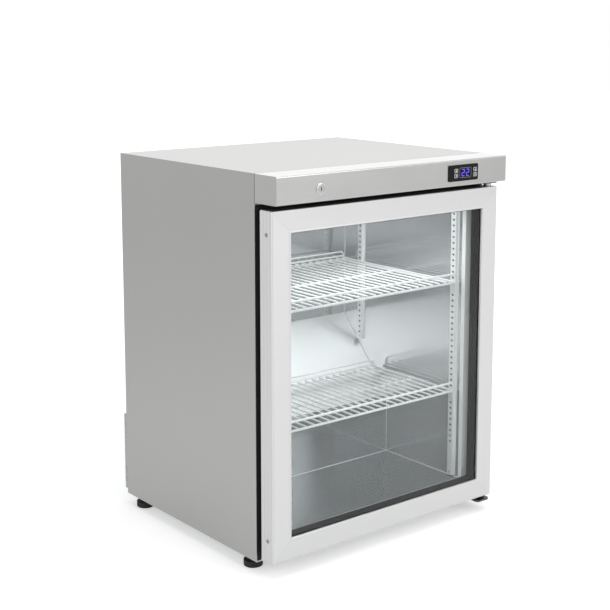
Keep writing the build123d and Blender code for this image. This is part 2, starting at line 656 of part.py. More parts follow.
keep("insulation", slab(-foam_half, foam_half, SHEET, foam_rear,
                        CEILING_HEIGHT + SHEET, foam_top) - breaker)
keep("insulation", slab(-foam_half, foam_half, SHEET, foam_low_back,
                        SHEET, FLOOR_HEIGHT - SHEET) - breaker)
keep("insulation", slab(-foam_half, foam_half, LOW_BACK_DEPTH + SHEET, foam_low_back,
                        FLOOR_HEIGHT - SHEET, knee) - drain_hole)
slope_outline = [
    (LOW_BACK_DEPTH + SHEET, knee),
    (LOW_BACK_DEPTH + SHEET, slope_height(LOW_BACK_DEPTH + SHEET, SHEET)),
    (INNER_DEPTH + SHEET, slope_height(INNER_DEPTH + SHEET, SHEET)),
    (INNER_DEPTH + SHEET, ceiling_of_machines),
    (slope_depth(ceiling_of_machines, foam_slope), ceiling_of_machines),
    (foam_low_back, knee),
]
keep("insulation", side_prism(slope_outline, -foam_half, foam_half))

evaporator_rear = INNER_DEPTH + SHEET + EVAPORATOR_SHEET
coil_depth = evaporator_rear + FIT + PIPE_RADIUS
coil_pocket = slab(-EVAPORATOR_HALF, EVAPORATOR_HALF, INNER_DEPTH + SHEET,
                   coil_depth + 2 * PIPE_RADIUS, EVAPORATOR_FOOT, EVAPORATOR_TOP)
keep("insulation", slab(-foam_half, foam_half, INNER_DEPTH + SHEET, foam_rear,
                        ceiling_of_machines, CEILING_HEIGHT + SHEET) - coil_pocket)
keep("evaporator", slab(-EVAPORATOR_HALF, EVAPORATOR_HALF, INNER_DEPTH + SHEET,
                        evaporator_rear, EVAPORATOR_FOOT, EVAPORATOR_TOP))


def serpentine(fixed, start, end, first, pitch, passes):
    """Corner points of a coil: runs between start and end, stacked from first by pitch.
    fixed(run, height) turns a place along the run and a height into a point."""
    points = []
    for index in range(passes):
        ends = (start, end) if index % 2 == 0 else (end, start)
        points += [fixed(ends[0], first + index * pitch), fixed(ends[1], first + index * pitch)]
    return points


coil_pitch = (EVAPORATOR_TOP - EVAPORATOR_FOOT - 2 * COIL_MARGIN) / (EVAPORATOR_PASSES - 1)
coil_route = serpentine(lambda run, height: (run, coil_depth, height),
                        -EVAPORATOR_HALF + COIL_MARGIN, EVAPORATOR_HALF - COIL_MARGIN,
                        EVAPORATOR_FOOT + COIL_MARGIN, coil_pitch, EVAPORATOR_PASSES)
keep("evaporator", pipe(coil_route, PIPE_RADIUS, coil_pitch * TUBE_BEND))

cabinet_outline = [
    (SHEET, SHEET),
    (foam_low_back, SHEET),
    (foam_low_back, knee),
    (slope_depth(ceiling_of_machines, foam_slope), ceiling_of_machines),
    (foam_rear, ceiling_of_machines),
    (foam_rear, foam_top),
    (SHEET, foam_top),
]
foam_side = side_prism(cabinet_outline, foam_half, HALF - SHEET) - breaker - insert_places
keep("insulation", foam_side - wall_holes - top_screw_holes - bottom_screw_holes)
keep("insulation", mirrored(foam_side) - left_wall_holes)

underbody_outline = [
    (SHEET, 0.0),
    (MACHINE_FRONT, 0.0),
    (MACHINE_FRONT, slope_height(MACHINE_FRONT, HUMP_WALL)),
    (slope_depth(MACHINE_ROOM_HEIGHT, HUMP_WALL), MACHINE_ROOM_HEIGHT),
    (foam_rear, MACHINE_ROOM_HEIGHT),
    (foam_rear, ceiling_of_machines),
    (slope_depth(ceiling_of_machines, foam_slope), ceiling_of_machines),
    (foam_low_back, knee),
    (foam_low_back, SHEET),
    (SHEET, SHEET),
]
underbody = side_prism(underbody_outline, -HALF + SHEET, HALF - SHEET)
keep("underbody_sheet", underbody - stud_holes - bottom_screw_holes - drain_hole)

# ================================================================ header with lock and controller
header = slab(-HALF, HALF, HEADER_FRONT, 0, HEADER_FOOT, CABINET_HEIGHT)
long_front_edges = header.edges().filter_by(Axis.X).group_by(Axis.Y)[0]
header = fillet(long_front_edges, HEADER_EDGE_RADIUS)
header -= slab(-HALF + HEADER_SHEET, HALF - HEADER_SHEET, HEADER_FRONT + HEADER_SHEET, 0,
               HEADER_FOOT + HEADER_SHEET, CABINET_HEIGHT - HEADER_SHEET)
bezel_front = HEADER_FRONT - BEZEL_STAND


def controller_block(size, d0, d1, x=0.0, height=0.0, grow=0.0):
    """A box centred on the controller (or beside its centre), between two depths."""
    half_wide = size[0] / 2 + grow
    half_high = size[1] / 2 + grow
    return slab(CONTROLLER_X + x - half_wide, CONTROLLER_X + x + half_wide, d0, d1,
                CONTROLLER_HEIGHT + height - half_high, CONTROLLER_HEIGHT + height + half_high)


def lock_bar(d0, d1, radius):
    """A round bar on the lock's axis between two depths."""
    return rod((LOCK_X, d0, LOCK_HEIGHT), (LOCK_X, d1, LOCK_HEIGHT), radius)


header -= controller_block(HOUSING_SIZE, HEADER_FRONT, 0, grow=FIT)
header -= lock_bar(HEADER_FRONT - SHEET, CAM_DEPTH - CAM_THICKNESS, LOCK_BODY_RADIUS + FIT)


def cam_swing(below):
    """How far the cam reaches sideways as it turns down through a level below the lock."""
    return math.sqrt(CAM_LENGTH**2 - below**2)


def cam_slot(top, foot):
    """A slot in a horizontal wall, as long as the cam needs to swing through it."""
    reach = cam_swing(LOCK_HEIGHT - top) + CAM_SLOT_MARGIN
    return slab(LOCK_X - CAM_WIDTH / 2 - CAM_SLOT_MARGIN, LOCK_X + reach,
                CAM_DEPTH + CAM_THICKNESS / 2 - CAM_SLOT_WIDTH / 2,
                CAM_DEPTH + CAM_THICKNESS / 2 + CAM_SLOT_WIDTH / 2, foot, top)


header -= cam_slot(HEADER_FOOT + HEADER_SHEET, HEADER_FOOT)
leaf_notch = slab(HINGE_X + GASKET_INSET - PLATE_WIDTH - HEADER_SHEET, HALF - HEADER_SHEET,
                  -TOP_PLATE - SHEET, 0, HEADER_FOOT, HEADER_FOOT + HEADER_SHEET)
keep("control_header", header - leaf_notch)

# Controller
housing = controller_block(HOUSING_SIZE, HEADER_FRONT, HEADER_FRONT + HOUSING_DEPTH)
housing -= controller_block(HOUSING_SIZE, HEADER_FRONT, HEADER_FRONT + HOUSING_DEPTH - HOUSING_WALL,
                            grow=-HOUSING_WALL)
keep("controller_housing", housing)
bezel = controller_block(BEZEL_SIZE, bezel_front, HEADER_FRONT)
bezel = fillet(bezel.edges().filter_by(Axis.Y), BEZEL_CORNER)
window = controller_block(WINDOW_SIZE, bezel_front, bezel_front + WINDOW_DEPTH, x=WINDOW_X)
bezel -= window
for x, height in BUTTON_OFFSETS.values():
    bezel -= controller_block(BUTTON_SIZE, bezel_front, HEADER_FRONT, x, height, grow=BUTTON_GAP)
keep("controller_bezel", bezel)
keep("display_window", window)
rim_front = HEADER_FRONT + BUTTON_GAP
for name, (x, height) in BUTTON_OFFSETS.items():
    rear = bezel_front - BUTTON_STAND + BUTTON_LENGTH
    button = controller_block(BUTTON_SIZE, bezel_front - BUTTON_STAND, rear, x, height)
    button = fillet(button.edges().filter_by(Axis.Y), BUTTON_CORNER)
    button += controller_block(BUTTON_SIZE, rim_front, rear, x, height, grow=BUTTON_RIM)
    keep(name, button)
board_front = HEADER_FRONT + BUTTON_LENGTH + BOARD_GAP
keep("controller_board", controller_block(HOUSING_SIZE, board_front, board_front + BOARD_THICKNESS,
                                          grow=-HOUSING_WALL - FIT))

# Lock
lock_front = HEADER_FRONT - LOCK_STAND
lock_bezel = lock_bar(lock_front, HEADER_FRONT, LOCK_BEZEL_RADIUS)
lock_bezel = fillet(lock_bezel.edges().group_by(Axis.Y)[0], LOCK_BEZEL_EDGE)
lock_body = lock_bezel + lock_bar(HEADER_FRONT, CAM_DEPTH - 1.0, LOCK_BODY_RADIUS)
lock_body -= lock_bar(lock_front - 1, CAM_DEPTH, LOCK_PLUG_RADIUS + FIT)
keep("lock_body", lock_body)
nut_front = HEADER_FRONT + HEADER_SHEET
nut_outline = RegularPolygon(LOCK_NUT[0] / 2, 6, major_radius=False)
nut_plane = Plane(origin=(LOCK_X, back(nut_front), up(LOCK_HEIGHT)), z_dir=(0, 1, 0))
lock_nut = extrude(nut_plane * nut_outline, amount=LOCK_NUT[1])
keep("fixings", lock_nut - lock_bar(nut_front - 1, nut_front + LOCK_NUT[1] + 1, LOCK_BODY_RADIUS + FIT))
plug = lock_bar(lock_front + PLUG_INSET, CAM_DEPTH, LOCK_PLUG_RADIUS)
plug -= slab(LOCK_X - KEYWAY[0] / 2, LOCK_X + KEYWAY[0] / 2,
             lock_front, lock_front + PLUG_INSET + KEYWAY_DEPTH,
             LOCK_HEIGHT - KEYWAY[1] / 2, LOCK_HEIGHT + KEYWAY[1] / 2)
cam = slab(LOCK_X, LOCK_X + CAM_LENGTH - CAM_WIDTH / 2, CAM_DEPTH, CAM_DEPTH + CAM_THICKNESS,
           LOCK_HEIGHT - CAM_WIDTH / 2, LOCK_HEIGHT + CAM_WIDTH / 2)
cam_tip = (LOCK_X + CAM_LENGTH - CAM_WIDTH / 2, CAM_DEPTH, LOCK_HEIGHT)
cam_tip_rear = (cam_tip[0], CAM_DEPTH + CAM_THICKNESS, LOCK_HEIGHT)
cam += rod(cam_tip, cam_tip_rear, CAM_WIDTH / 2)
cam += lock_bar(CAM_DEPTH, CAM_DEPTH + CAM_THICKNESS, CAM_WIDTH / 2)
keep("lock_plug", plug)
keep("lock_cam", cam)

# ================================================================ door frame
pocket_edge = RAIL_WIDTH - GLASS_POCKET
pocket_rear = FRONT_LIP + 2 * PANE + PANE_SPACING
chamber_inner = pocket_edge - RAIL_WALL
fin_centre = GASKET_INSET + GASKET_WIDTH / 2
chamber_rear = DOOR_THICKNESS - GASKET_FIN_DEPTH - RAIL_WALL


def framed(x0, x1, h0, h1, inset0, inset1, from_front0, from_front1):
    """A rectangular ring: between two insets from a door outline, between two depths behind
    the door's front."""
    d0 = DOOR_FRONT + from_front0
    d1 = DOOR_FRONT + from_front1
    ring = slab(x0 + inset0, x1 - inset0, d0, d1, h0 + inset0, h1 - inset0)
    return ring - slab(x0 + inset1, x1 - inset1, d0, d1, h0 + inset1, h1 - inset1)


frame_box = (FRAME_LEFT, DOOR_HALF, DOOR_FOOT, DOOR_TOP)
frame_ring = framed(*frame_box, 0, RAIL_WIDTH, 0, DOOR_THICKNESS)
outer_front_edges = [
    edge
    for edge in frame_ring.edges().group_by(Axis.Y)[0]
    if edge.length > DOOR_TOP - DOOR_FOOT - 1 or edge.length > DOOR_HALF - FRAME_LEFT - 1
]
frame_ring = fillet(outer_front_edges, RAIL_EDGE_RADIUS)
frame_ring -= framed(*frame_box, pocket_edge, RAIL_WIDTH, FRONT_LIP, pocket_rear)
frame_ring -= framed(*frame_box, RAIL_WALL, chamber_inner, RAIL_WALL, chamber_rear)
frame_ring -= framed(*frame_box, fin_centre - GASKET_FIN_WIDTH / 2 - FIT,
                     fin_centre + GASKET_FIN_WIDTH / 2 + FIT,
                     DOOR_THICKNESS - GASKET_FIN_DEPTH - FIT, DOOR_THICKNESS)

bush_places = {
    "top": ((HINGE_X, HINGE_DEPTH, DOOR_TOP - HINGE_PIN_REACH), (HINGE_X, HINGE_DEPTH, DOOR_TOP)),
    "bottom": ((HINGE_X, HINGE_DEPTH, DOOR_FOOT),
               (HINGE_X, HINGE_DEPTH, DOOR_FOOT + HINGE_PIN_REACH)),
}
bush_holes = [rod(a, b, BUSH_RADIUS + FIT) for a, b in bush_places.values()]
frame_ring -= bush_holes
frame_ring -= cam_slot(DOOR_TOP, DOOR_TOP - RAIL_WALL)
handle_screw_depth = (RAIL_WALL + chamber_rear) / 2 + DOOR_FRONT
handle_screw_heights = (DOOR_FOOT + HANDLE_SCREW_INSET, DOOR_TOP - HANDLE_SCREW_INSET)
handle_screw_holes = [
    rod((-DOOR_HALF - 5, handle_screw_depth, h),
        (FRAME_LEFT + RAIL_WALL + 1, handle_screw_depth, h), HANDLE_SCREW_RADIUS + FIT)
    for h in handle_screw_heights
]
frame_ring -= handle_screw_holes

left, right, foot, top = frame_box
mitres = {
    "door_top_rail": [(left, top), (right, top), (right - RAIL_WIDTH, top - RAIL_WIDTH),
                      (left + RAIL_WIDTH, top - RAIL_WIDTH)],
    "door_bottom_rail": [(left, foot), (right, foot), (right - RAIL_WIDTH, foot + RAIL_WIDTH),
                         (left + RAIL_WIDTH, foot + RAIL_WIDTH)],
    "door_handle_stile": [(left, foot), (left, top), (left + RAIL_WIDTH, top - RAIL_WIDTH),
                          (left + RAIL_WIDTH, foot + RAIL_WIDTH)],
    "door_hinge_stile": [(right, foot), (right, top), (right - RAIL_WIDTH, top - RAIL_WIDTH),
                         (right - RAIL_WIDTH, foot + RAIL_WIDTH)],
}
for name, outline in mitres.items():
    keep(name, frame_ring & face_prism(outline, DOOR_FRONT, DOOR_BACK))

key_ring = framed(*frame_box, RAIL_WALL + KEY_CLEARANCE, chamber_inner - KEY_CLEARANCE,
                  RAIL_WALL + KEY_CLEARANCE, chamber_rear - KEY_CLEARANCE)
corner_keys = []
for x in (left, right):
    for height in (foot, top):
        corner = slab(x - KEY_LEG, x + KEY_LEG, DOOR_FRONT, DOOR_BACK,
                      height - KEY_LEG, height + KEY_LEG)
        corner_keys.append((key_ring & corner) - bush_holes - handle_screw_holes)
keep("door_corner_keys", *corner_keys)

# Glass unit
glass_edge = pocket_edge + GLASS_EDGE_GAP


def pane(from_front):
    d0 = DOOR_FRONT + from_front
    return slab(left + glass_edge, right - glass_edge, d0, d0 + PANE,
                foot + glass_edge, top - glass_edge)


keep("glass_panes", pane(FRONT_LIP))
keep("glass_panes", pane(pocket_rear - PANE))
keep("glass_spacer", framed(*frame_box, glass_edge, glass_edge + SPACER_WIDTH,
                            FRONT_LIP + PANE, pocket_rear - PANE))

# Gasket, measured from the door's own edges so that it swings clear of the cabinet
gasket_box = (-DOOR_HALF, DOOR_HALF, DOOR_FOOT, DOOR_TOP)
gasket_front = DOOR_THICKNESS
gasket_rear = DOOR_THICKNESS + GASKET_DEPTH - GASKET_SEAL_GAP
gasket = framed(*gasket_box, GASKET_INSET, GASKET_INSET + GASKET_WIDTH, gasket_front, gasket_rear)
magnet_inset = GASKET_INSET + (GASKET_WIDTH - MAGNET_WIDTH) / 2
magnet_rear = gasket_rear - MAGNET_COVER
magnet_ring = framed(*gasket_box, magnet_inset, magnet_inset + MAGNET_WIDTH,
                     magnet_rear - MAGNET_THICKNESS, magnet_rear)
gasket -= magnet_ring
gasket += framed(*frame_box, fin_centre - GASKET_FIN_WIDTH / 2, fin_centre + GASKET_FIN_WIDTH / 2,
                 DOOR_THICKNESS - GASKET_FIN_DEPTH, DOOR_THICKNESS)
keep("door_gasket", gasket)
magnets = []
corner_gap = magnet_inset + MAGNET_WIDTH
for side in (-1, 1):
    post = side * (DOOR_HALF - corner_gap)
    magnets.append(magnet_ring & slab(post, post + side * MAGNET_WIDTH, DOOR_FRONT, 0,
                                      DOOR_FOOT + corner_gap, DOOR_TOP - corner_gap))
for height in (DOOR_FOOT + magnet_inset, DOOR_TOP - corner_gap):
    magnets.append(magnet_ring & slab(corner_gap - DOOR_HALF, DOOR_HALF - corner_gap,
                                      DOOR_FRONT, 0, height, height + MAGNET_WIDTH))
keep("gasket_magnets", *magnets)

# Strip along the free edge
strip = slab(-DOOR_HALF, FRAME_LEFT, DOOR_FRONT, DOOR_BACK, DOOR_FOOT, DOOR_TOP)
strip = fillet(strip.edges().filter_by(Axis.X).group_by(Axis.Z)[-1], HANDLE_STRIP_CORNER)
keep("door_handle_strip", strip - handle_screw_holes)
keep("handle_screws", *[
    rod((-DOOR_HALF - HANDLE_SCREW_HEAD[1], handle_screw_depth, h),
        (-DOOR_HALF, handle_screw_depth, h), HANDLE_SCREW_HEAD[0])
    + rod((-DOOR_HALF, handle_screw_depth, h),
          (FRAME_LEFT + RAIL_WALL, handle_screw_depth, h), HANDLE_SCREW_RADIUS)
    for h in handle_screw_heights
])

# ================================================================ hinges
keep("hinge_bushes", *[
    rod(a, b, BUSH_RADIUS) - rod(a, b, HINGE_PIN_RADIUS + FIT) for a, b in bush_places.values()
])
plate_right = HINGE_X + GASKET_INSET
plate_left = plate_right - PLATE_WIDTH
pin_hole = rod((HINGE_X, HINGE_DEPTH, -50), (HINGE_X, HINGE_DEPTH, CABINET_HEIGHT),
               HINGE_PIN_RADIUS + FIT)
top_plate = slab(plate_left, plate_right, -PLATE_FRONT, 0, top_plate_foot,
                 top_plate_foot + TOP_PLATE)
top_plate += slab(plate_left, plate_right, -TOP_PLATE, 0, top_plate_foot,
                  top_plate_foot + TOP_LEAF_HEIGHT)
keep("hinge_plates", top_plate - pin_hole - top_screw_holes)
top_pin = rod((HINGE_X, HINGE_DEPTH, DOOR_TOP - HINGE_PIN_REACH + PIN_END_GAP),
              (HINGE_X, HINGE_DEPTH, top_plate_foot + TOP_PLATE), HINGE_PIN_RADIUS)
top_pin += rod((HINGE_X, HINGE_DEPTH, DOOR_TOP + RUNNING_GAP),
               (HINGE_X, HINGE_DEPTH, top_plate_foot), SHOULDER_RADIUS)
keep("hinge_pins", top_pin)
bottom_plate = slab(plate_left, plate_right, -PLATE_FRONT, PLATE_UNDER, -BOTTOM_PLATE, 0)
bottom_plate = fillet(bottom_plate.edges().filter_by(Axis.Z).group_by(Axis.Y)[0], BOTTOM_PLATE_CORNER)
keep("hinge_plates", bottom_plate - pin_hole - bottom_screw_holes)
bottom_pin = rod((HINGE_X, HINGE_DEPTH, -BOTTOM_PLATE),
                 (HINGE_X, HINGE_DEPTH, DOOR_FOOT + HINGE_PIN_REACH - PIN_END_GAP), HINGE_PIN_RADIUS)
keep("hinge_pins", bottom_pin)
collar = rod((HINGE_X, HINGE_DEPTH, 0), (HINGE_X, HINGE_DEPTH, DOOR_FOOT - RUNNING_GAP),
             SHOULDER_RADIUS)
keep("hinge_bushes", collar - pin_hole)
hinge_screws = []
for x, h in top_screw_places:
    head = rod((x, -TOP_PLATE - HINGE_SCREW_HEAD[1], h), (x, -TOP_PLATE, h), HINGE_SCREW_HEAD[0])
    hinge_screws.append(head + rod((x, -TOP_PLATE, h), (x, HINGE_SCREW_REACH, h), HINGE_SCREW_RADIUS))
for x, d in bottom_screw_places:
    head = rod((x, d, -BOTTOM_PLATE - HINGE_SCREW_HEAD[1]), (x, d, -BOTTOM_PLATE), HINGE_SCREW_HEAD[0])
    hinge_screws.append(head + rod((x, d, -BOTTOM_PLATE), (x, d, HINGE_SCREW_REACH), HINGE_SCREW_RADIUS))
keep("fixings", *hinge_screws)

# ================================================================ machine room
tray = slab(-HALF + SHEET, HALF - SHEET, MACHINE_FRONT, CABINET_DEPTH - SHEET, 0, TRAY_SHEET)
keep("compressor_tray", tray - stud_holes)

cover_half = HALF - REAR_COVER_SIDE_GAP
cover = slab(-cover_half, cover_half, CABINET_DEPTH, cover_rear, REAR_COVER_FOOT, REAR_COVER_TOP)
cover -= slab(-cover_half + SHEET, cover_half - SHEET, CABINET_DEPTH, cover_rear - SHEET,
              REAR_COVER_FOOT + SHEET, REAR_COVER_TOP - SHEET)
louvre_foot = (REAR_COVER_FOOT + REAR_COVER_TOP - (LOUVRE_ROWS - 1) * LOUVRE_PITCH) / 2
louvres = []
for column in range(LOUVRE_COLUMNS):
    x = (column - (LOUVRE_COLUMNS - 1) / 2) * LOUVRE_COLUMN_PITCH
    for row in range(LOUVRE_ROWS):
        height = louvre_foot + row * LOUVRE_PITCH
        louvres.append(slab(x - LOUVRE_SIZE[0] / 2, x + LOUVRE_SIZE[0] / 2,
                            cover_rear - 2 * SHEET, cover_rear + SHEET,
                            height - LOUVRE_SIZE[1] / 2, height + LOUVRE_SIZE[1] / 2))
grommet_neck = GROMMET_BORE + CORD_GROMMET_WALL
grommet_front = cover_rear - CORD_GROMMET_GRIP
grommet_rear = cover_rear + CORD_GROMMET_FLANGE


def cord_bar(d0, d1, radius):
    """A round bar on the axis of the cord entry between two depths."""
    return rod((CORD_ENTRY_X, d0, CORD_ENTRY_HEIGHT), (CORD_ENTRY_X, d1, CORD_ENTRY_HEIGHT), radius)


cover -= cord_bar(grommet_front, grommet_rear, grommet_neck + FIT)
keep("rear_cover", cover - louvres - cover_screw_holes)
cord_grommet = cord_bar(cover_rear, grommet_rear, grommet_neck + CORD_GROMMET_WALL)
cord_grommet += cord_bar(grommet_front, cover_rear, grommet_neck)
keep("rubber_grommets", cord_grommet - cord_bar(grommet_front - 1, grommet_rear + 1, GROMMET_BORE))
cover_screws = []
for x, h in cover_screw_places:
    head = rod((x, cover_rear, h), (x, cover_rear + COVER_SCREW_HEAD[1], h), COVER_SCREW_HEAD[0])
    shank = rod((x, CABINET_DEPTH - COVER_SCREW_EXCESS, h), (x, cover_rear, h), COVER_SCREW_RADIUS)
    cover_screws.append(head + shank)
keep("rear_cover_screws", *cover_screws)

# Compressor on four rubber mounts
mount_places = [
    (COMPRESSOR_X + sx * MOUNT_SPACING[0] / 2, COMPRESSOR_DEPTH + sy * MOUNT_SPACING[1] / 2)
    for sx in (-1, 1)
    for sy in (-1, 1)
]
plate_foot = TRAY_SHEET + GROMMET_HEIGHT
plate_top = plate_foot + FOOT_PLATE[2]
can_top = plate_top + CAN_HEIGHT


def upright(place, h0, h1, radius):
    """A round bar standing on a place given as (x, depth)."""
    return rod((*place, h0), (*place, h1), radius)


centre = (COMPRESSOR_X, COMPRESSOR_DEPTH)
can = upright(centre, plate_top, can_top, CAN_RADIUS)
can = fillet(can.edges().group_by(Axis.Z)[-1], CAN_DOME)
seam = plate_top + CAN_HEIGHT * SEAM_PLACE
can += upright(centre, seam, seam + SEAM_HEIGHT, SEAM_RADIUS)
foot_plate = slab(COMPRESSOR_X - FOOT_PLATE[0] / 2, COMPRESSOR_X + FOOT_PLATE[0] / 2,
                  COMPRESSOR_DEPTH - FOOT_PLATE[1] / 2, COMPRESSOR_DEPTH + FOOT_PLATE[1] / 2,
                  plate_foot, plate_top)
can += foot_plate
can -= [upright(place, plate_foot - 1, plate_top + 1, MOUNT_BOLT_RADIUS + FIT)
        for place in mount_places]
keep("compressor", can)
keep("rubber_grommets", *[
    upright(place, TRAY_SHEET, plate_foot, GROMMET_RADIUS)
    - upright(place, TRAY_SHEET - 1, plate_foot + 1, MOUNT_BOLT_RADIUS + FIT)
    for place in mount_places
])
keep("fixings", *[
    upright(place, TRAY_SHEET, plate_top, MOUNT_BOLT_RADIUS)
    + upright(place, plate_top, plate_top + MOUNT_BOLT_HEAD, MOUNT_BOLT_RADIUS * 2)
    for place in mount_places
])
terminal_x = COMPRESSOR_X + TERMINAL_OFFSET
terminal_foot = plate_top + TERMINAL_RISE
terminal_box = slab(terminal_x - TERMINAL_BOX[0] / 2, terminal_x + TERMINAL_BOX[0] / 2,
                    COMPRESSOR_DEPTH - TERMINAL_BOX[1] / 2, COMPRESSOR_DEPTH + TERMINAL_BOX[1] / 2,
                    terminal_foot, terminal_foot + TERMINAL_BOX[2])
terminal_box -= upright(centre, plate_top, can_top + 5, CAN_RADIUS + FIT)
keep("compressor_terminal_box", terminal_box)

# Condenser: fins square to a coil of tubes that runs from front to rear
fins_length = (FIN_COUNT - 1) * FIN_PITCH
fins_front = (MACHINE_FRONT + foam_rear - fins_length) / 2
tube_levels = [TRAY_SHEET + TUBE_FOOT + index * TUBE_PITCH for index in range(TUBE_PASSES)]
tube_holes = [
    rod((CONDENSER_X, MACHINE_FRONT, h), (CONDENSER_X, CABINET_DEPTH, h), TUBE_RADIUS + FIT)
    for h in tube_levels
]
one_fin = slab(CONDENSER_X - CONDENSER_WIDTH / 2, CONDENSER_X + CONDENSER_WIDTH / 2,
               fins_front - FIN_THICKNESS / 2, fins_front + FIN_THICKNESS / 2,
               TRAY_SHEET, CONDENSER_HEIGHT) - tube_holes
keep("condenser_fins", *[Pos(0, index * FIN_PITCH, 0) * one_fin for index in range(FIN_COUNT)])
coil_front = fins_front - BEND_REACH
coil_rear = fins_front + fins_length + BEND_REACH
drier_start = CONDENSER_X + CONDENSER_WIDTH / 2 + DRIER_GAP
condenser_route = [(drier_start, coil_front, tube_levels[0])] + serpentine(
    lambda run, height: (CONDENSER_X, run, height),
    coil_front, coil_rear, tube_levels[0], TUBE_PITCH, TUBE_PASSES)
keep("condenser_coil", pipe(condenser_route, TUBE_RADIUS, TUBE_PITCH * TUBE_BEND))

# Refrigerant lines: compressor to condenser, condenser to drier and on through the capillary,
# evaporator back to compressor
line_level = can_top + LINE_RISE
gas_x = COMPRESSOR_X - PIPE_SPREAD
keep("refrigerant_lines", pipe([
    (gas_x, COMPRESSOR_DEPTH, can_top),
    (gas_x, COMPRESSOR_DEPTH, line_level),
    (CONDENSER_X, COMPRESSOR_DEPTH, line_level),
    (CONDENSER_X, coil_front + TUBE_RADIUS, line_level),
    (CONDENSER_X, coil_front + TUBE_RADIUS, tube_levels[-1] + TUBE_RADIUS),
], PIPE_RADIUS, PIPE_BEND))
suction_x = COMPRESSOR_X + PIPE_SPREAD
keep("refrigerant_lines", rod((suction_x, COMPRESSOR_DEPTH, can_top),
                              (suction_x, COMPRESSOR_DEPTH, MACHINE_ROOM_HEIGHT), PIPE_RADIUS))
drier_end = drier_start + DRIER_LENGTH
drier = rod((drier_start, coil_front, tube_levels[0]), (drier_end, coil_front, tube_levels[0]),
            DRIER_RADIUS)
keep("refrigerant_lines", fillet(drier.edges(), DRIER_RADIUS * 0.5))
keep("refrigerant_lines", pipe([
    (drier_end, coil_front, tube_levels[0]),
    (drier_end + CAPILLARY_LEAD, coil_front, tube_levels[0]),
    (drier_end + CAPILLARY_LEAD, coil_front, slope_height(coil_front - CAPILLARY_RADIUS, HUMP_WALL)),
], CAPILLARY_RADIUS, CAPILLARY_BEND))

# Condenser fan
fan_depth = COMPRESSOR_DEPTH


def fan_bar(x0, x1, radius):
    return rod((x0, fan_depth, FAN_HEIGHT), (x1, fan_depth, FAN_HEIGHT), radius)


hub_front = FAN_X - FAN_HUB_LENGTH / 2
hub_rear = FAN_X + FAN_HUB_LENGTH / 2
fan = fan_bar(hub_front, hub_rear, FAN_HUB_RADIUS)
axle = Axis((FAN_X, back(fan_depth), up(FAN_HEIGHT)), (1, 0, 0))
blade_length = FAN_RADIUS - FAN_HUB_RADIUS + FAN_AXLE_RADIUS
blade = Rot(Z=FAN_BLADE_PITCH) * Box(*FAN_BLADE, blade_length)
blade = Pos(FAN_X, back(fan_depth), up(FAN_HEIGHT) + FAN_RADIUS - blade_length / 2) * blade
for index in range(FAN_BLADES):
    fan += blade.rotate(axle, 360.0 / FAN_BLADES * index)
motor_front = hub_rear + FAN_RUNNING_GAP
fan += fan_bar(hub_rear, motor_front + FAN_AXLE_GRIP, FAN_AXLE_RADIUS)
keep("condenser_fan", fan)
motor = fan_bar(motor_front, motor_front + MOTOR_LENGTH, MOTOR_RADIUS)
motor = fillet(motor.edges().group_by(Axis.X)[-1], MOTOR_EDGE)
motor -= fan_bar(motor_front - 1, motor_front + FAN_AXLE_GRIP + 1, FAN_AXLE_RADIUS + FIT)
shroud_x = FAN_X - FAN_HUB_LENGTH / 2 - SHROUD_GAP
shroud_half = FAN_RADIUS + SHROUD_MARGIN
shroud = slab(shroud_x, shroud_x + SHROUD, fan_depth - shroud_half, fan_depth + shroud_half,
              TRAY_SHEET, FAN_HEIGHT + shroud_half)
shroud -= fan_bar(shroud_x - 1, shroud_x + SHROUD + 1, FAN_RADIUS + SHROUD_CLEARANCE)
keep("fan_shroud", shroud)
arm_reach = FAN_RADIUS + MOTOR_ARM_MARGIN
arm_x = motor_front + MOTOR_ARM_PLACE
arm_rear = arm_x + MOTOR_ARM[0]
arm_levels = (FAN_HEIGHT - MOTOR_ARM[1] / 2, FAN_HEIGHT + MOTOR_ARM[1] / 2)
for side in (-1, 1):
    motor += slab(arm_x, arm_rear, fan_depth + side * (MOTOR_RADIUS - MOTOR_ARM[0]),
                  fan_depth + side * arm_reach, *arm_levels)
    motor += slab(shroud_x + SHROUD, arm_rear, fan_depth + side * (arm_reach - MOTOR_ARM[0]),
                  fan_depth + side * arm_reach, *arm_levels)
keep("fan_motor", motor)

# Condensate tray with its drain from the liner
tray_front = MACHINE_FRONT + DRIP_TRAY_GAP
tray_box = slab(DRIP_TRAY_X - DRIP_TRAY[0] / 2, DRIP_TRAY_X + DRIP_TRAY[0] / 2,
                tray_front, tray_front + DRIP_TRAY[1],
                TRAY_SHEET, TRAY_SHEET + DRIP_TRAY[2])
tray_hollow = slab(DRIP_TRAY_X - DRIP_TRAY[0] / 2 + DRIP_TRAY_WALL,
                   DRIP_TRAY_X + DRIP_TRAY[0] / 2 - DRIP_TRAY_WALL,
                   tray_front + DRIP_TRAY_WALL,
                   tray_front + DRIP_TRAY[1] - DRIP_TRAY_WALL,
                   TRAY_SHEET + DRIP_TRAY_WALL, TRAY_SHEET + DRIP_TRAY[2])
keep("condensate_drain", tray_box - tray_hollow)
drain_end = tray_front + DRAIN_OVER_TRAY
drain_route = [
    (drain_x, LOW_BACK_DEPTH, DRAIN_HEIGHT),
    (drain_x, drain_end, DRAIN_HEIGHT),
    (drain_x, drain_end, DRAIN_HEIGHT - DRAIN_DROP),
]
drain = pipe(drain_route, DRAIN_RADIUS, DRAIN_BEND) - pipe(drain_route, DRAIN_BORE, DRAIN_BEND)
keep("condensate_drain", drain)

# ================================================================ files
os.makedirs("parts", exist_ok=True)
for name, solids in nodes.items():
    shape = solids[0] if len(solids) == 1 else Compound(children=solids)
    export_step(shape, f"parts/{name}.step")
print(len(nodes), "nodes written")
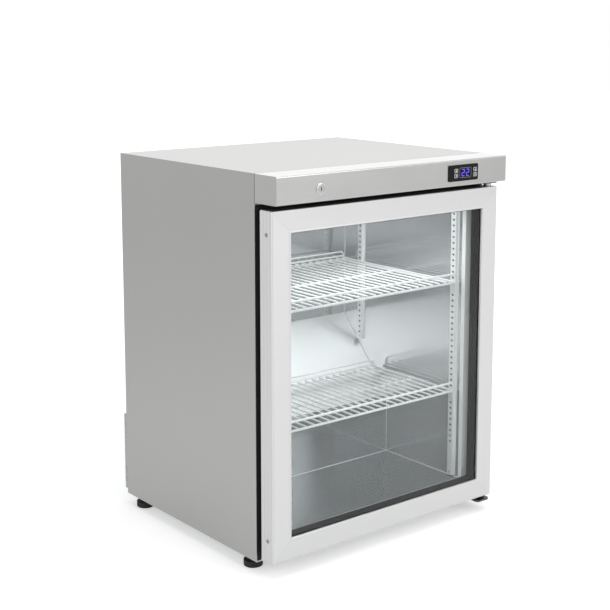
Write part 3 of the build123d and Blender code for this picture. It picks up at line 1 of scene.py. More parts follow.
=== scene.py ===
# %% [markdown]
# An under-counter refrigerator with a glass door.
# The cabinet, the door and everything that moves come from the CAD frame, which is loaded first
# and never changed. This lesson adds what CAD leaves plain: the wires of the shelves, the screws,
# the louvres, the gasket, the digits of the display, and the finish of every surface.

# %% Load the frame
import math

import bmesh
import bpy
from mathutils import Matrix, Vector


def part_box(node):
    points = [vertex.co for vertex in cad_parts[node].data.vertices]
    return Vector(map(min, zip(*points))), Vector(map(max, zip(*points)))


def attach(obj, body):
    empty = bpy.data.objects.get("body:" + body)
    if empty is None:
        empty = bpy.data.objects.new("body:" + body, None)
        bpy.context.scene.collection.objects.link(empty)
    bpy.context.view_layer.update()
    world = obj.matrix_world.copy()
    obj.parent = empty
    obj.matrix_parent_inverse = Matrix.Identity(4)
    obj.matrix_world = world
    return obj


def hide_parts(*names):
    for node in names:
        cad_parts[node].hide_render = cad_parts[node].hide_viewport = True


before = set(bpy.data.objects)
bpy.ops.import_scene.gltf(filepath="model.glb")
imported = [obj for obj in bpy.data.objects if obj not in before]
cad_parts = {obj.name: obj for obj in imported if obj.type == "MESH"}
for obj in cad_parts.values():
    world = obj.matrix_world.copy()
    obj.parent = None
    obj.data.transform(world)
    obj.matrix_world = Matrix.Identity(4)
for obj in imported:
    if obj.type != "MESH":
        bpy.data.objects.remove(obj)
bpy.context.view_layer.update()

MM = 0.001

# %% [markdown]
# The boxes that several steps need are read here.

# %% Places
header_low, header_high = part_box("control_header")
side_low, side_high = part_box("left_side_panel")
cover_low, cover_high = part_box("rear_cover")
window_low, window_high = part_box("display_window")
strip_low, strip_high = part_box("door_handle_strip")
gasket_low, gasket_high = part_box("door_gasket")
liner_low, liner_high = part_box("liner")

print("header front at y =", round(header_low.y, 4))
print("liner width", round(liner_high.x - liner_low.x, 4))

# %% [markdown]
# Colours are written the way paint charts give them, as sRGB hex values. Blender's shaders want
# linear light, so one function turns one into the other.


# %% Colours
def linear(code):
    """An sRGB hex colour such as "c8c8c6" as linear red, green, blue and a full alpha."""
    values = []
    for index in (0, 2, 4):
        part = int(code[index:index + 2], 16) / 255
        values.append(part / 12.92 if part <= 0.04045 else ((part + 0.055) / 1.055) ** 2.4)
    return (*values, 1.0)


print("mid grey b0b0ae is", [round(v, 3) for v in linear("b0b0ae")[:3]], "in linear light")

# %% [markdown]
# Every node tree below, for a material or for geometry, is built with one helper. It adds a node,
# gives it its settings, and fills its inputs: a value is set, and another node's output is linked.


# %% One helper for nodes
def add(tree, kind, settings=None, inputs=None):
    """Adds a node to a tree with its settings and its inputs, and gives it back."""
    node = tree.nodes.new(kind)
    for name, value in (settings or {}).items():
        setattr(node, name, value)
    for name, value in (inputs or {}).items():
        if isinstance(value, bpy.types.NodeSocket):
            tree.links.new(value, node.inputs[name])
        else:
            node.inputs[name].default_value = value
    return node


# %% [markdown]
# Rolled, brushed, moulded and coated surfaces have the same build: one plain colour, with a grain
# that shifts its shade, its gloss and its height a little. The grain's size is given in real
# millimetres along x, y and z. A brushed sheet has a long grain one way and a fine one across it;
# a moulded plastic has the same fine grain all ways. A second, much broader noise breaks up the
# gloss as handling and uneven rolling do.


# %% A surface with a grain
def surface(name, code, metallic, roughness, grain, shade=0.04, gloss=0.05, height=0.004, cloud=120.0,
            settings=None, patches=()):
    """A material from a hex colour. grain is the pattern's size in mm along x, y and z; shade and
    gloss are how far colour and roughness stray; height is the grain's depth in mm. patches are
    boxes by their two corners, each with a second colour and roughness for what lies in it."""
    material = bpy.data.materials.new(name)
    material.use_nodes = True
    tree = material.node_tree
    shader = tree.nodes["Principled BSDF"]
    place = add(tree, "ShaderNodeTexCoord").outputs["Object"]
    fine_scale = tuple(1000.0 / size for size in grain)
    stretched = add(tree, "ShaderNodeMapping", inputs={"Vector": place, "Scale": fine_scale})
    fine = add(tree, "ShaderNodeTexNoise",
               inputs={"Vector": stretched.outputs[0], "Scale": 1.0, "Detail": 5.0, "Roughness": 0.6})
    broad = add(tree, "ShaderNodeTexNoise",
                inputs={"Vector": place, "Scale": 1000.0 / cloud, "Detail": 3.0, "Roughness": 0.55})
    dark = tuple(v * (1 - shade) for v in linear(code)[:3]) + (1.0,)
    light = tuple(min(1.0, v * (1 + shade)) for v in linear(code)[:3]) + (1.0,)
    tint = add(tree, "ShaderNodeMix", {"data_type": "RGBA"},
               {"Factor": fine.outputs["Fac"], 6: dark, 7: light})
    both = add(tree, "ShaderNodeMath", {"operation": "ADD"},
               {0: fine.outputs["Fac"], 1: broad.outputs["Fac"]})
    rough = add(tree, "ShaderNodeMapRange",
                inputs={"Value": both.outputs[0], "From Min": 0.5, "From Max": 1.5,
                        "To Min": max(0.02, roughness - gloss), "To Max": roughness + gloss})
    colour = tint.outputs[2]
    sheen = rough.outputs[0]
    for low, high, second_code, second_rough in patches:
        split = add(tree, "ShaderNodeSeparateXYZ", inputs={0: place})
        inside = 1.0
        for axis in range(3):
            for operation, bound in (("GREATER_THAN", low[axis]), ("LESS_THAN", high[axis])):
                test = add(tree, "ShaderNodeMath", {"operation": operation},
                           {0: split.outputs[axis], 1: bound})
                inside = add(tree, "ShaderNodeMath", {"operation": "MULTIPLY"},
                             {0: inside, 1: test.outputs[0]}).outputs[0]
        colour = add(tree, "ShaderNodeMix", {"data_type": "RGBA"},
                     {"Factor": inside, 6: colour, 7: linear(second_code)}).outputs[2]
        sheen = add(tree, "ShaderNodeMix", {"data_type": "FLOAT"},
                    {"Factor": inside, 2: sheen, 3: second_rough}).outputs[0]
    relief = add(tree, "ShaderNodeBump",
                 inputs={"Height": fine.outputs["Fac"], "Strength": 1.0, "Distance": height * MM})
    tree.links.new(colour, shader.inputs["Base Color"])
    tree.links.new(sheen, shader.inputs["Roughness"])
    tree.links.new(relief.outputs[0], shader.inputs["Normal"])
    shader.inputs["Metallic"].default_value = metallic
    for socket, value in (settings or {}).items():
        shader.inputs[socket].default_value = value
    return material


def dress(material, *nodes):
    """Gives CAD nodes a material."""
    for node in nodes:
        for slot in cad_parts[node].material_slots:
            slot.material = material


print("surface() and dress() are ready")

# %% [markdown]
# The pieces that CAD lacks are closed shells, most of them rings of vertices with bands of faces
# between. Three helpers do what they share: one joins two rings, one closes a mesh with its faces
# pointing outwards, and one puts the mesh in the scene with its material.


# %% Helpers for meshes
def bridge(body, under, over):
    """Joins two rings of vertices with a band of faces."""
    count = len(under)
    for k in range(count):
        after = (k + 1) % count
        body.faces.new((under[k], under[after], over[after], over[k]))


def closed_mesh(name, body):
    """Turns a bmesh into a mesh whose faces all point outwards."""
    bmesh.ops.recalc_face_normals(body, faces=body.faces)
    mesh = bpy.data.meshes.new(name)
    body.to_mesh(mesh)
    body.free()
    return mesh


def show(name, mesh, material):
    """Puts a mesh in the scene as a piece with one material."""
    piece = bpy.data.objects.new(name, mesh)
    bpy.context.scene.collection.objects.link(piece)
    mesh.materials.append(material)
    print(name, len(mesh.polygons), "faces")
    return piece


print("bridge(), closed_mesh() and show() are ready")

# %% [markdown]
# The shell is stainless steel, 304 grade, ground with a fine belt along the sheet. That gives it
# long hair lines, a soft satin gloss and a grey that follows the room. The lines run down the
# side panels and across the header and the top. The hair lines of the real sheet are about
# 0.1 mm apart; they are drawn 0.8 mm apart here so that they still show from two metres away.
# The header and the top are painted paler than the sides: the same steel in three tones, as painted light
# for how the lamps fall on each face. The header's folded upper face gets a still paler painted
# highlight, set by its height.

# %% Stainless sheets
# Painted highlight: above this height the header's upper face is painted paler than its front.
painted_header_top_highlight = ((-1, -1, header_high.z - 0.6 * MM), (1, 1, 1), "f2f2f1", 0.3)
satin_sides = surface("satin_stainless_upright", "b4b4b2", 1.0, 0.34, (0.8, 0.8, 160.0), 0.03, 0.06, 0.001)
# Painted light: the header and the top take paler tones of the same steel than the sides.
satin_header_painted_paler = surface("satin_stainless_across_painted_paler", "bfbfbe", 1.0, 0.30, (160.0, 0.8, 0.8), 0.03, 0.05, 0.001,
                       patches=[painted_header_top_highlight])
satin_top_painted_paler = surface("satin_stainless_top_painted_paler", "d4d4d3", 1.0, 0.34, (160.0, 0.8, 0.8), 0.02, 0.06, 0.001)
dress(satin_sides, "left_side_panel", "right_side_panel")
dress(satin_header_painted_paler, "control_header")
dress(satin_top_painted_paler, "top_panel")
print("shell dressed")

# %% [markdown]
# The liner is a brighter sheet, bright-annealed and left nearly as it comes from the rollers, so
# it mirrors the shelves and the strips with a slight blur. The slope at the rear is duller and
# painted paler, a painted highlight for the light that falls on it, and the floor is painted darker,
# a painted shade: two patches, given as boxes just inside the liner's walls, set them apart. The
# perforated strips and the clips are drawn paler and less metallic than bare steel, so that they
# stay nearly white against the liner.

# %% Liner
SLOPE_DEPTH = 150.5 * MM
SLOPE_TOP = 302 * MM
WALL_SKIN = 1.2 * MM
BACK_SKIN = 0.8 * MM
FLOOR_SKIN = 1.3 * MM
# The slope's patch is a painted highlight and the floor's patch is painted shade.
painted_light_slope_low = (liner_low.x + WALL_SKIN, liner_high.y - SLOPE_DEPTH, liner_low.z)
painted_light_slope_high = (liner_high.x - WALL_SKIN, liner_high.y - BACK_SKIN, liner_low.z + SLOPE_TOP)
painted_shade_floor_low = (liner_low.x, liner_low.y, liner_low.z)
painted_shade_floor_high = (liner_high.x, liner_high.y, liner_low.z + FLOOR_SKIN)
bright_liner = surface("bright_rolled_liner", "c9cbcc", 0.92, 0.15, (220.0, 220.0, 3.0), 0.06, 0.07, 0.001,
                       cloud=140.0, patches=[(painted_light_slope_low, painted_light_slope_high, "e4e6e6", 0.42),
                                             (painted_shade_floor_low, painted_shade_floor_high, "97999b", 0.2)])
bright_strip = surface("bright_punched_strip", "eceeee", 0.35, 0.30, (2.0, 2.0, 60.0), 0.02, 0.06, 0.003)
dress(bright_liner, "liner")
dress(bright_strip, "pilasters", "shelf_clips")
print("liner dressed")

# %% [markdown]
# Behind and below, where nobody looks, the sheets are zinc-coated steel. Hot-dip zinc freezes in
# flat crystals, the spangle, each with its own grey. A Voronoi pattern draws cells of 9 mm, and
# each cell's random colour sets its shade and its gloss.


# %% Galvanised sheet
def galvanised(name, code, crystal):
    """Zinc with crystals of this size in mm; the darkest cell has 0.86 of the colour."""
    material = bpy.data.materials.new(name)
    material.use_nodes = True
    tree = material.node_tree
    shader = tree.nodes["Principled BSDF"]
    place = add(tree, "ShaderNodeTexCoord").outputs["Object"]
    cells = add(tree, "ShaderNodeTexVoronoi", inputs={"Vector": place, "Scale": 1000.0 / crystal})
    shade = add(tree, "ShaderNodeSeparateColor", inputs={0: cells.outputs["Color"]})
    dark = tuple(v * 0.86 for v in linear(code)[:3]) + (1.0,)
    tint = add(tree, "ShaderNodeMix", {"data_type": "RGBA"},
               {"Factor": shade.outputs[0], 6: dark, 7: linear(code)})
    rough = add(tree, "ShaderNodeMapRange",
                inputs={"Value": shade.outputs[1], "To Min": 0.34, "To Max": 0.52})
    tree.links.new(tint.outputs[2], shader.inputs["Base Color"])
    tree.links.new(rough.outputs[0], shader.inputs["Roughness"])
    shader.inputs["Metallic"].default_value = 1.0
    return material


spangled_zinc = galvanised("spangled_zinc_sheet", "b4b8ba", 9.0)
dress(spangled_zinc, "back_panel", "underbody_sheet", "compressor_tray", "fan_shroud", "rear_cover",
      "front_rails")
print("zinc sheets dressed")

# %% [markdown]
# The door frame is extruded aluminium, etched and anodised. The oxide makes it pale and almost
# milky, with the die lines of the extrusion along each profile. The stiles' lines run up and the
# rails' lines run across, which is what makes the mitred corners visible.

# %% Door frame
aluminium_up = surface("anodised_stile", "dadada", 0.55, 0.42, (1.2, 1.2, 260.0), 0.02, 0.04, 0.002)
aluminium_across = surface("anodised_rail", "d8d8d8", 0.55, 0.42, (260.0, 1.2, 1.2), 0.02, 0.04, 0.002)
mill_aluminium = surface("mill_aluminium", "c9cacb", 1.0, 0.35, (1.5, 40.0, 40.0), 0.05, 0.06)
dress(aluminium_up, "door_handle_stile", "door_hinge_stile")
dress(aluminium_across, "door_top_rail", "door_bottom_rail")
dress(mill_aluminium, "glass_spacer", "evaporator", "condenser_fins")
print("door frame dressed")

# %% [markdown]
# The plastics: a white polystyrene frame that keeps the cold liner apart from the warm shell,
# black ABS around the controller, glass-filled nylon where pieces carry load, and soft PVC for
# the gasket. Mouldings have a fine spark-eroded texture of about half a millimetre.

# %% Plastics and rubber
white_styrene = surface("white_polystyrene", "e9ebea", 0.0, 0.38, (0.9, 0.9, 0.9), 0.01, 0.05, 0.01)
black_abs = surface("black_abs_bezel", "0f0f11", 0.0, 0.30, (0.5, 0.5, 0.5), 0.10, 0.06, 0.012,
                    settings={"Specular IOR Level": 0.18})
button_abs = surface("button_abs", "1b1c20", 0.0, 0.36, (0.4, 0.4, 0.4), 0.10, 0.05, 0.010)
black_nylon = surface("black_filled_nylon", "18181a", 0.0, 0.50, (0.8, 0.8, 0.8), 0.18, 0.08, 0.025)
foot_rubber = surface("foot_rubber", "161616", 0.0, 0.66, (1.2, 1.2, 1.2), 0.22, 0.08, 0.04)
gasket_pvc = surface("soft_pvc_gasket", "101011", 0.0, 0.5, (6.0, 6.0, 6.0), 0.08, 0.05, 0.010,
                     settings={"Specular IOR Level": 0.15})
foam_fill = surface("polyurethane_foam", "e5d8a4", 0.0, 0.85, (1.6, 1.6, 1.6), 0.10, 0.05, 0.25)
board_mask = surface("circuit_board_mask", "1c5a34", 0.0, 0.35, (2.4, 2.4, 2.4), 0.25, 0.10, 0.02)
dress(white_styrene, "thermal_break_frame", "temperature_probe")
dress(black_abs, "controller_housing", "controller_bezel")
dress(button_abs, "button_set", "button_down", "button_up", "button_power")
dress(black_nylon, "hinge_bushes", "door_corner_keys", "condensate_drain", "compressor_terminal_box",
      "fan_motor", "condenser_fan")
dress(foot_rubber, "foot_front_left", "foot_front_right", "foot_rear_left", "foot_rear_right",
      "rubber_grommets")
dress(foam_fill, "insulation")
dress(board_mask, "controller_board")
print("plastics dressed")

# %% [markdown]
# Small metal: zinc-plated steel with its faint blue, hinge plates drawn in a darker grey,
# black-passivated screws, polished chrome on the lock, drawn copper with a warm, slightly
# tarnished tone, and the thick black enamel that compressors are dipped in.

# %% Small metal pieces
zinc_plate = surface("blue_zinc_plate", "c3c7cb", 1.0, 0.28, (1.5, 1.5, 1.5), 0.08, 0.08)
# The hinge plates are drawn in a darker grey than the other plated steel.
dark_grey_hinge = surface("dark_grey_hinge_plate", "5a5d60", 1.0, 0.36, (1.5, 1.5, 1.5), 0.12, 0.08)
nickel_screw = surface("nickel_plated_screw", "8f9295", 1.0, 0.30, (1.0, 1.0, 1.0), 0.10, 0.08)
black_zinc = surface("black_passivated_screw", "1d1d1f", 0.8, 0.42, (0.8, 0.8, 0.8), 0.15, 0.08)
lock_chrome = surface("polished_chrome", "dcdcde", 1.0, 0.10, (3.0, 3.0, 3.0), 0.02, 0.04, 0.001)
drawn_copper = surface("drawn_copper_tube", "b87350", 1.0, 0.28, (6.0, 6.0, 6.0), 0.18, 0.10)
can_enamel = surface("compressor_enamel", "131313", 0.0, 0.26, (4.0, 4.0, 4.0), 0.10, 0.08, 0.05,
                     settings={"Coat Weight": 0.4, "Coat Roughness": 0.12})
dress(zinc_plate, "fixings", "hinge_pins", "lock_cam", "gasket_magnets")
dress(dark_grey_hinge, "hinge_plates")
dress(lock_chrome, "lock_body", "lock_plug")
dress(drawn_copper, "condenser_coil", "refrigerant_lines")
dress(can_enamel, "compressor")
print("small metal dressed")

# %% [markdown]
# Glass needs two answers. To the eye it is a clear solid of IOR 1.52 with a trace of green. To
# the lamps it has to be open, because a path tracer finds no light behind a refracting pane. So
# shadow, diffuse and mirrored rays pass straight through, and all others see the glass. Its
# mirror image is held back by a low specular tint, so that the shelves show through two panes.
# The display window is smoked acrylic: dark, with a hard gloss.


# %% Glass and the smoked window
def clear_glass(name, code):
    """Float glass that refracts for the eye and lets the lamps' light straight in."""
    material = bpy.data.materials.new(name)
    material.use_nodes = True
    tree = material.node_tree
    shader = tree.nodes["Principled BSDF"]
    shader.inputs["Base Color"].default_value = linear(code)
    shader.inputs["Roughness"].default_value = 0.0
    shader.inputs["IOR"].default_value = 1.52
    shader.inputs["Transmission Weight"].default_value = 1.0
    shader.inputs["Specular Tint"].default_value = (0.18, 0.18, 0.18, 1.0)
    ray = add(tree, "ShaderNodeLightPath")
    open_to_light = add(tree, "ShaderNodeBsdfTransparent", inputs={"Color": linear("fcfdfd")})
    soft = add(tree, "ShaderNodeMath", {"operation": "MAXIMUM"},
               {0: ray.outputs["Is Shadow Ray"], 1: ray.outputs["Is Diffuse Ray"]})
    soft = add(tree, "ShaderNodeMath", {"operation": "MAXIMUM"},
               {0: soft.outputs[0], 1: ray.outputs["Is Reflection Ray"]})
    choice = add(tree, "ShaderNodeMixShader",
                 inputs={0: soft.outputs[0], 1: shader.outputs[0], 2: open_to_light.outputs[0]})
    tree.links.new(choice.outputs[0], tree.nodes["Material Output"].inputs["Surface"])
    return material


door_glass = clear_glass("clear_float_glass", "fdfefe")
smoked_acrylic = surface("smoked_acrylic_window", "08080d", 0.0, 0.08, (8.0, 8.0, 8.0), 0.05, 0.02, 0.001,
                         settings={"Specular IOR Level": 0.2})
dress(door_glass, "glass_panes")
dress(smoked_acrylic, "display_window")
print("glass dressed")

# %% [markdown]
# The wire shelves. A real one is made by a welding machine: a frame of 5 mm rod, a deck of 3.6 mm
# wires laid over it at one pitch, a raised rail along the front edge and a low double rail at
# the rear that keeps goods off the cold wall. It is dipped in white epoxy powder. What repeats
# at one pitch is work for Geometry Nodes: one tree takes the sizes as inputs, and both shelves
# come from it. Each wire is a line turned to a tube; bent wires are polylines with round corners.


# %% Helpers for geometry trees
def start_tree(title, sizes):
    """A new geometry tree with named inputs. sizes maps a name to (socket kind, default)."""
    tree = bpy.data.node_groups.new(title, "GeometryNodeTree")
    tree.interface.new_socket("Geometry", in_out="INPUT", socket_type="NodeSocketGeometry")
    for name, (kind, value) in sizes.items():
        socket = tree.interface.new_socket(name, in_out="INPUT", socket_type=kind)
        if value is not None:
            socket.default_value = value
    tree.interface.new_socket("Geometry", in_out="OUTPUT", socket_type="NodeSocketGeometry")
    given = tree.nodes.new("NodeGroupInput").outputs
    return tree, given


def end_tree(tree, geometry, material):
    """Closes a tree: instances are made real and the material is set."""
    real = add(tree, "GeometryNodeRealizeInstances", inputs={0: geometry})
    coated = add(tree, "GeometryNodeSetMaterial", inputs={"Geometry": real.outputs[0], "Material": material})
    result = tree.nodes.new("NodeGroupOutput")
    tree.links.new(coated.outputs[0], result.inputs[0])


def grow(name, tree, values, start=None):
    """Runs a geometry tree with these input values and gives its result as a plain mesh object."""
    carrier = bpy.data.objects.new(name + "_carrier", start or bpy.data.meshes.new(name + "_start"))
    bpy.context.scene.collection.objects.link(carrier)
    modifier = carrier.modifiers.new("nodes", "NODES")
    modifier.node_group = tree
    for item in tree.interface.items_tree:
        if item.in_out == "INPUT" and item.name in values:
            modifier[item.identifier] = values[item.name]
    view = bpy.context.evaluated_depsgraph_get()
    mesh = bpy.data.meshes.new_from_object(carrier.evaluated_get(view))
    carrier.modifiers.remove(modifier)
    bpy.data.objects.remove(carrier)
    mesh.name = name
    piece = bpy.data.objects.new(name, mesh)
    bpy.context.scene.collection.objects.link(piece)
    print(name, len(mesh.polygons), "faces")
    return piece


# %% The tree of a wire shelf
white_epoxy = surface("white_epoxy_coat", "f1f3f3", 0.0, 0.28, (2.5, 2.5, 2.5), 0.01, 0.06, 0.02)
shelf_tree, size = start_tree("wire_shelf", {
    "Half width": ("NodeSocketFloat", 0.24), "Front": ("NodeSocketFloat", 0.0),
    "Rear": ("NodeSocketFloat", 0.35), "Foot": ("NodeSocketFloat", 0.0),
    "Rod": ("NodeSocketFloat", 0.0025), "Wire": ("NodeSocketFloat", 0.0015),
    "Pitch": ("NodeSocketFloat", 0.02), "Wires": ("NodeSocketInt", 24),
    "Rail rise": ("NodeSocketFloat", 0.021), "Upstand": ("NodeSocketFloat", 0.019),
    "Corner": ("NodeSocketFloat", 0.006),
})


def reckon(operation, first, second):
    """A sum in the shelf tree; each side is a number or a socket."""
    return add(shelf_tree, "ShaderNodeMath", {"operation": operation}, {0: first, 1: second}).outputs[0]


def point(x, y, z):
    return add(shelf_tree, "ShaderNodeCombineXYZ", inputs={"X": x, "Y": y, "Z": z}).outputs[0]


def tube(line, radius, sides=10):
    """A round tube along a curve of the shelf tree, closed at its ends."""
    ring = add(shelf_tree, "GeometryNodeCurvePrimitiveCircle", inputs={"Resolution": sides, "Radius": radius})
    return add(shelf_tree, "GeometryNodeCurveToMesh",
               inputs={"Curve": line, "Profile Curve": ring.outputs[0], "Fill Caps": True}).outputs[0]


def straight(start, end):
    return add(shelf_tree, "GeometryNodeCurvePrimitiveLine", inputs={"Start": start, "End": end}).outputs[0]


def bent(*points):
    """A wire through several points with round corners, closed lines end to end."""
    lines = [straight(a, b) for a, b in zip(points, points[1:])]
    joined = add(shelf_tree, "GeometryNodeJoinGeometry")
    for line in reversed(lines):
        shelf_tree.links.new(line, joined.inputs[0])
    chain = add(shelf_tree, "GeometryNodeCurveToMesh", inputs={"Curve": joined.outputs[0]})
    merged = add(shelf_tree, "GeometryNodeMergeByDistance", inputs={"Geometry": chain.outputs[0]})
    curve = add(shelf_tree, "GeometryNodeMeshToCurve", inputs={"Mesh": merged.outputs[0]})
    rounded = add(shelf_tree, "GeometryNodeFilletCurve",
                  inputs={"Curve": curve.outputs[0], "Radius": size["Corner"], "Limit Radius": True})
    rounded.mode = "POLY"
    rounded.inputs["Count"].default_value = 5
    return rounded.outputs[0]


rod_level = reckon("ADD", size["Foot"], size["Rod"])
deck_level = reckon("ADD", reckon("ADD", rod_level, size["Rod"]), size["Wire"])
right = reckon("SUBTRACT", size["Half width"], size["Rod"])
left = reckon("MULTIPLY", right, -1.0)
front = reckon("ADD", size["Front"], size["Rod"])
rear = reckon("SUBTRACT", size["Rear"], size["Rod"])
centre = reckon("MULTIPLY", reckon("ADD", front, rear), 0.5)
frame_loop = [straight(point(left, y, rod_level), point(right, y, rod_level))
              for y in (front, centre, rear)]
frame_loop += [straight(point(x, front, rod_level), point(x, rear, rod_level)) for x in (left, right)]
rail_level = reckon("ADD", size["Foot"], size["Rail rise"])
front_rail = bent(point(left, front, rod_level), point(left, front, rail_level),
                  point(right, front, rail_level), point(right, front, rod_level))
print("shelf tree: frame and front rail")

# %% [markdown]
# The deck: one straight wire is placed on a row of points. The rear rail is one bent wire with
# its two posts, and a straight wire lower down between them.

# %% Deck and rear rail
span = reckon("MULTIPLY", reckon("SUBTRACT", size["Wires"], 1.0), size["Pitch"])
half_span = reckon("MULTIPLY", span, 0.5)
row = add(shelf_tree, "GeometryNodeMeshLine", inputs={
    "Count": size["Wires"],
    "Start Location": point(reckon("MULTIPLY", half_span, -1.0), 0.0, 0.0),
    "Offset": point(size["Pitch"], 0.0, 0.0)})
deck_wire = tube(straight(point(0.0, size["Front"], deck_level), point(0.0, size["Rear"], deck_level)),
                 size["Wire"], 8)
deck = add(shelf_tree, "GeometryNodeInstanceOnPoints",
           inputs={"Points": row.outputs[0], "Instance": deck_wire}).outputs[0]
post = half_span
far_post = reckon("MULTIPLY", half_span, -1.0)
rail_depth = reckon("SUBTRACT", size["Rear"], size["Wire"])
top_wire = reckon("SUBTRACT", reckon("ADD", size["Foot"], size["Upstand"]), size["Wire"])
mid_wire = reckon("SUBTRACT", top_wire, 10 * MM)
rear_rail = bent(point(far_post, rail_depth, rod_level), point(far_post, rail_depth, top_wire),
                 point(post, rail_depth, top_wire), point(post, rail_depth, rod_level))
lower_wire = straight(point(far_post, rail_depth, mid_wire), point(post, rail_depth, mid_wire))
whole = add(shelf_tree, "GeometryNodeJoinGeometry")
for line in frame_loop:
    shelf_tree.links.new(tube(line, size["Rod"]), whole.inputs[0])
shelf_tree.links.new(tube(front_rail, size["Rod"]), whole.inputs[0])
shelf_tree.links.new(deck, whole.inputs[0])
for line in (rear_rail, lower_wire):
    shelf_tree.links.new(tube(line, size["Wire"], 8), whole.inputs[0])
end_tree(shelf_tree, whole.outputs[0], white_epoxy)
print("shelf tree has", len(shelf_tree.nodes), "nodes")

# %% [markdown]
# Both shelves are grown from the tree with the sizes of their CAD nodes, and each takes the place
# of its node. The CAD node stays behind in the physics.

# %% Both shelves
for node in ("upper_shelf", "lower_shelf"):
    low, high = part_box(node)
    wires = grow(node + "_wires", shelf_tree, {
        "Half width": high.x, "Front": low.y, "Rear": high.y, "Foot": low.z,
        "Upstand": 23 * MM, "Rail rise": 21 * MM, "Wires": 24, "Pitch": 20 * MM,
        "Rod": 2.5 * MM, "Wire": 1.8 * MM, "Corner": 9 * MM,
    })
    for face in wires.data.polygons:
        face.use_smooth = True
    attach(wires, node)
    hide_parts(node)

# %% [markdown]
# Screw heads. One pan head with a cross recess is modelled once, as a lathe turns it: rings of
# vertices from the rim to the crown, and four wedges pressed in. A second tree puts a copy on
# every vertex of a mesh that holds only places.


# %% One screw head
def pan_head(name, radius, rise, sides=24):
    """A pan head that stands on the xy plane, with a cross recess, as a mesh object."""
    body = bmesh.new()
    rings = []
    profile = [(1.0, 0.0), (1.0, 0.35), (0.93, 0.68), (0.78, 0.9), (0.55, 1.0)]
    for share, level in profile:
        rings.append([body.verts.new((radius * share * math.cos(2 * math.pi * k / sides),
                                      radius * share * math.sin(2 * math.pi * k / sides),
                                      rise * level)) for k in range(sides)])
    for under, over in zip(rings, rings[1:]):
        bridge(body, under, over)
    cross = []
    for k in range(sides):
        angle = 2 * math.pi * k / sides
        arm = max(abs(math.cos(2 * angle)), 0.0) ** 6
        reach = radius * (0.16 + 0.34 * arm)
        cross.append(body.verts.new((reach * math.cos(angle), reach * math.sin(angle), rise * 0.98)))
    floor = [body.verts.new((v.co.x * 0.6, v.co.y * 0.6, rise * 0.35)) for v in cross]
    tip = body.verts.new((0, 0, rise * 0.2))
    for under, over in ((rings[-1], cross), (cross, floor)):
        bridge(body, under, over)
    for k in range(sides):
        body.faces.new((floor[k], floor[(k + 1) % sides], tip))
    body.faces.new(list(reversed(rings[0])))
    return bpy.data.objects.new(name, closed_mesh(name, body))


# %% A tree that puts one shape on many places
copy_tree, given = start_tree("copies_on_places", {
    "Shape": ("NodeSocketObject", None), "Turn": ("NodeSocketVector", (0.0, 0.0, 0.0)),
    "Finish": ("NodeSocketMaterial", None),
})
shape = add(copy_tree, "GeometryNodeObjectInfo", inputs={"Object": given["Shape"]})
places = add(copy_tree, "GeometryNodeMeshToPoints", inputs={"Mesh": given["Geometry"]})
copies = add(copy_tree, "GeometryNodeInstanceOnPoints", inputs={
    "Points": places.outputs[0], "Instance": shape.outputs["Geometry"], "Rotation": given["Turn"]})
end_tree(copy_tree, copies.outputs[0], given["Finish"])


def copies_at(name, shape, points, turn, finish, smooth=True):
    """Puts a copy of a shape on each point, turned by the same Euler angles, as one mesh."""
    start = bpy.data.meshes.new(name + "_places")
    start.from_pydata([tuple(p) for p in points], [], [])
    bpy.context.scene.collection.objects.link(shape)
    piece = grow(name, copy_tree, {"Shape": shape, "Turn": turn, "Finish": finish}, start)
    bpy.data.objects.remove(shape)
    for face in piece.data.polygons:
        face.use_smooth = smooth
    return piece


print("copy tree has", len(copy_tree.nodes), "nodes")

# %% [markdown]
# Where a CAD node holds several equal pieces, its loose islands tell where they are. A union-find
# over its triangles groups the vertices, and each group's box gives a place.


# %% Islands of a CAD node
def islands(node):
    """(low, high) corners of each separate solid in a CAD node."""
    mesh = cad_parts[node].data
    owner = {}

    def root(key):
        while owner[key] != key:
            owner[key] = owner[owner[key]]
            key = owner[key]
        return key

    keys = [tuple(round(c, 6) for c in v.co) for v in mesh.vertices]
    for key in keys:
        owner[key] = key
    for face in mesh.polygons:
        corners = [keys[i] for i in face.vertices]
        for other in corners[1:]:
            owner[root(other)] = root(corners[0])
    groups = {}
    for key in owner:
        groups.setdefault(root(key), []).append(key)
    boxes = []
    for group in groups.values():
        low = Vector(min(p[i] for p in group) for i in range(3))
        high = Vector(max(p[i] for p in group) for i in range(3))
        boxes.append((low, high))
    return boxes


fixing_boxes = islands("fixings")
print(len(fixing_boxes), "separate fixings")

# %% [markdown]
# Black screws hold the rear cover, bright ones the strip on the door's free edge. Both sets take
# the place of their plain CAD heads. The upright strips inside get bright heads that cover the
# CAD ones, which stay because their node also holds nuts and inserts.

# %% Screws of the cover and of the strip
QUARTER = math.pi / 2
cover_rear = cover_high.y
cover_screws = islands("rear_cover_screws")
black_heads = copies_at(
    "cover_screw_heads", pan_head("cover_head", 4.4 * MM, 2.2 * MM),
    [((low.x + high.x) / 2, cover_rear, (low.z + high.z) / 2) for low, high in cover_screws],
    (-QUARTER, 0.0, 0.0), black_zinc)
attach(black_heads, "cabinet")
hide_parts("rear_cover_screws")

strip_screws = islands("handle_screws")
strip_heads = copies_at(
    "strip_screw_heads", pan_head("strip_head", 4.0 * MM, 1.2 * MM),
    [(strip_low.x, (low.y + high.y) / 2, (low.z + high.z) / 2) for low, high in strip_screws],
    (0.0, -QUARTER, 0.0), nickel_screw)
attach(strip_heads, "door")
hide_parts("handle_screws")

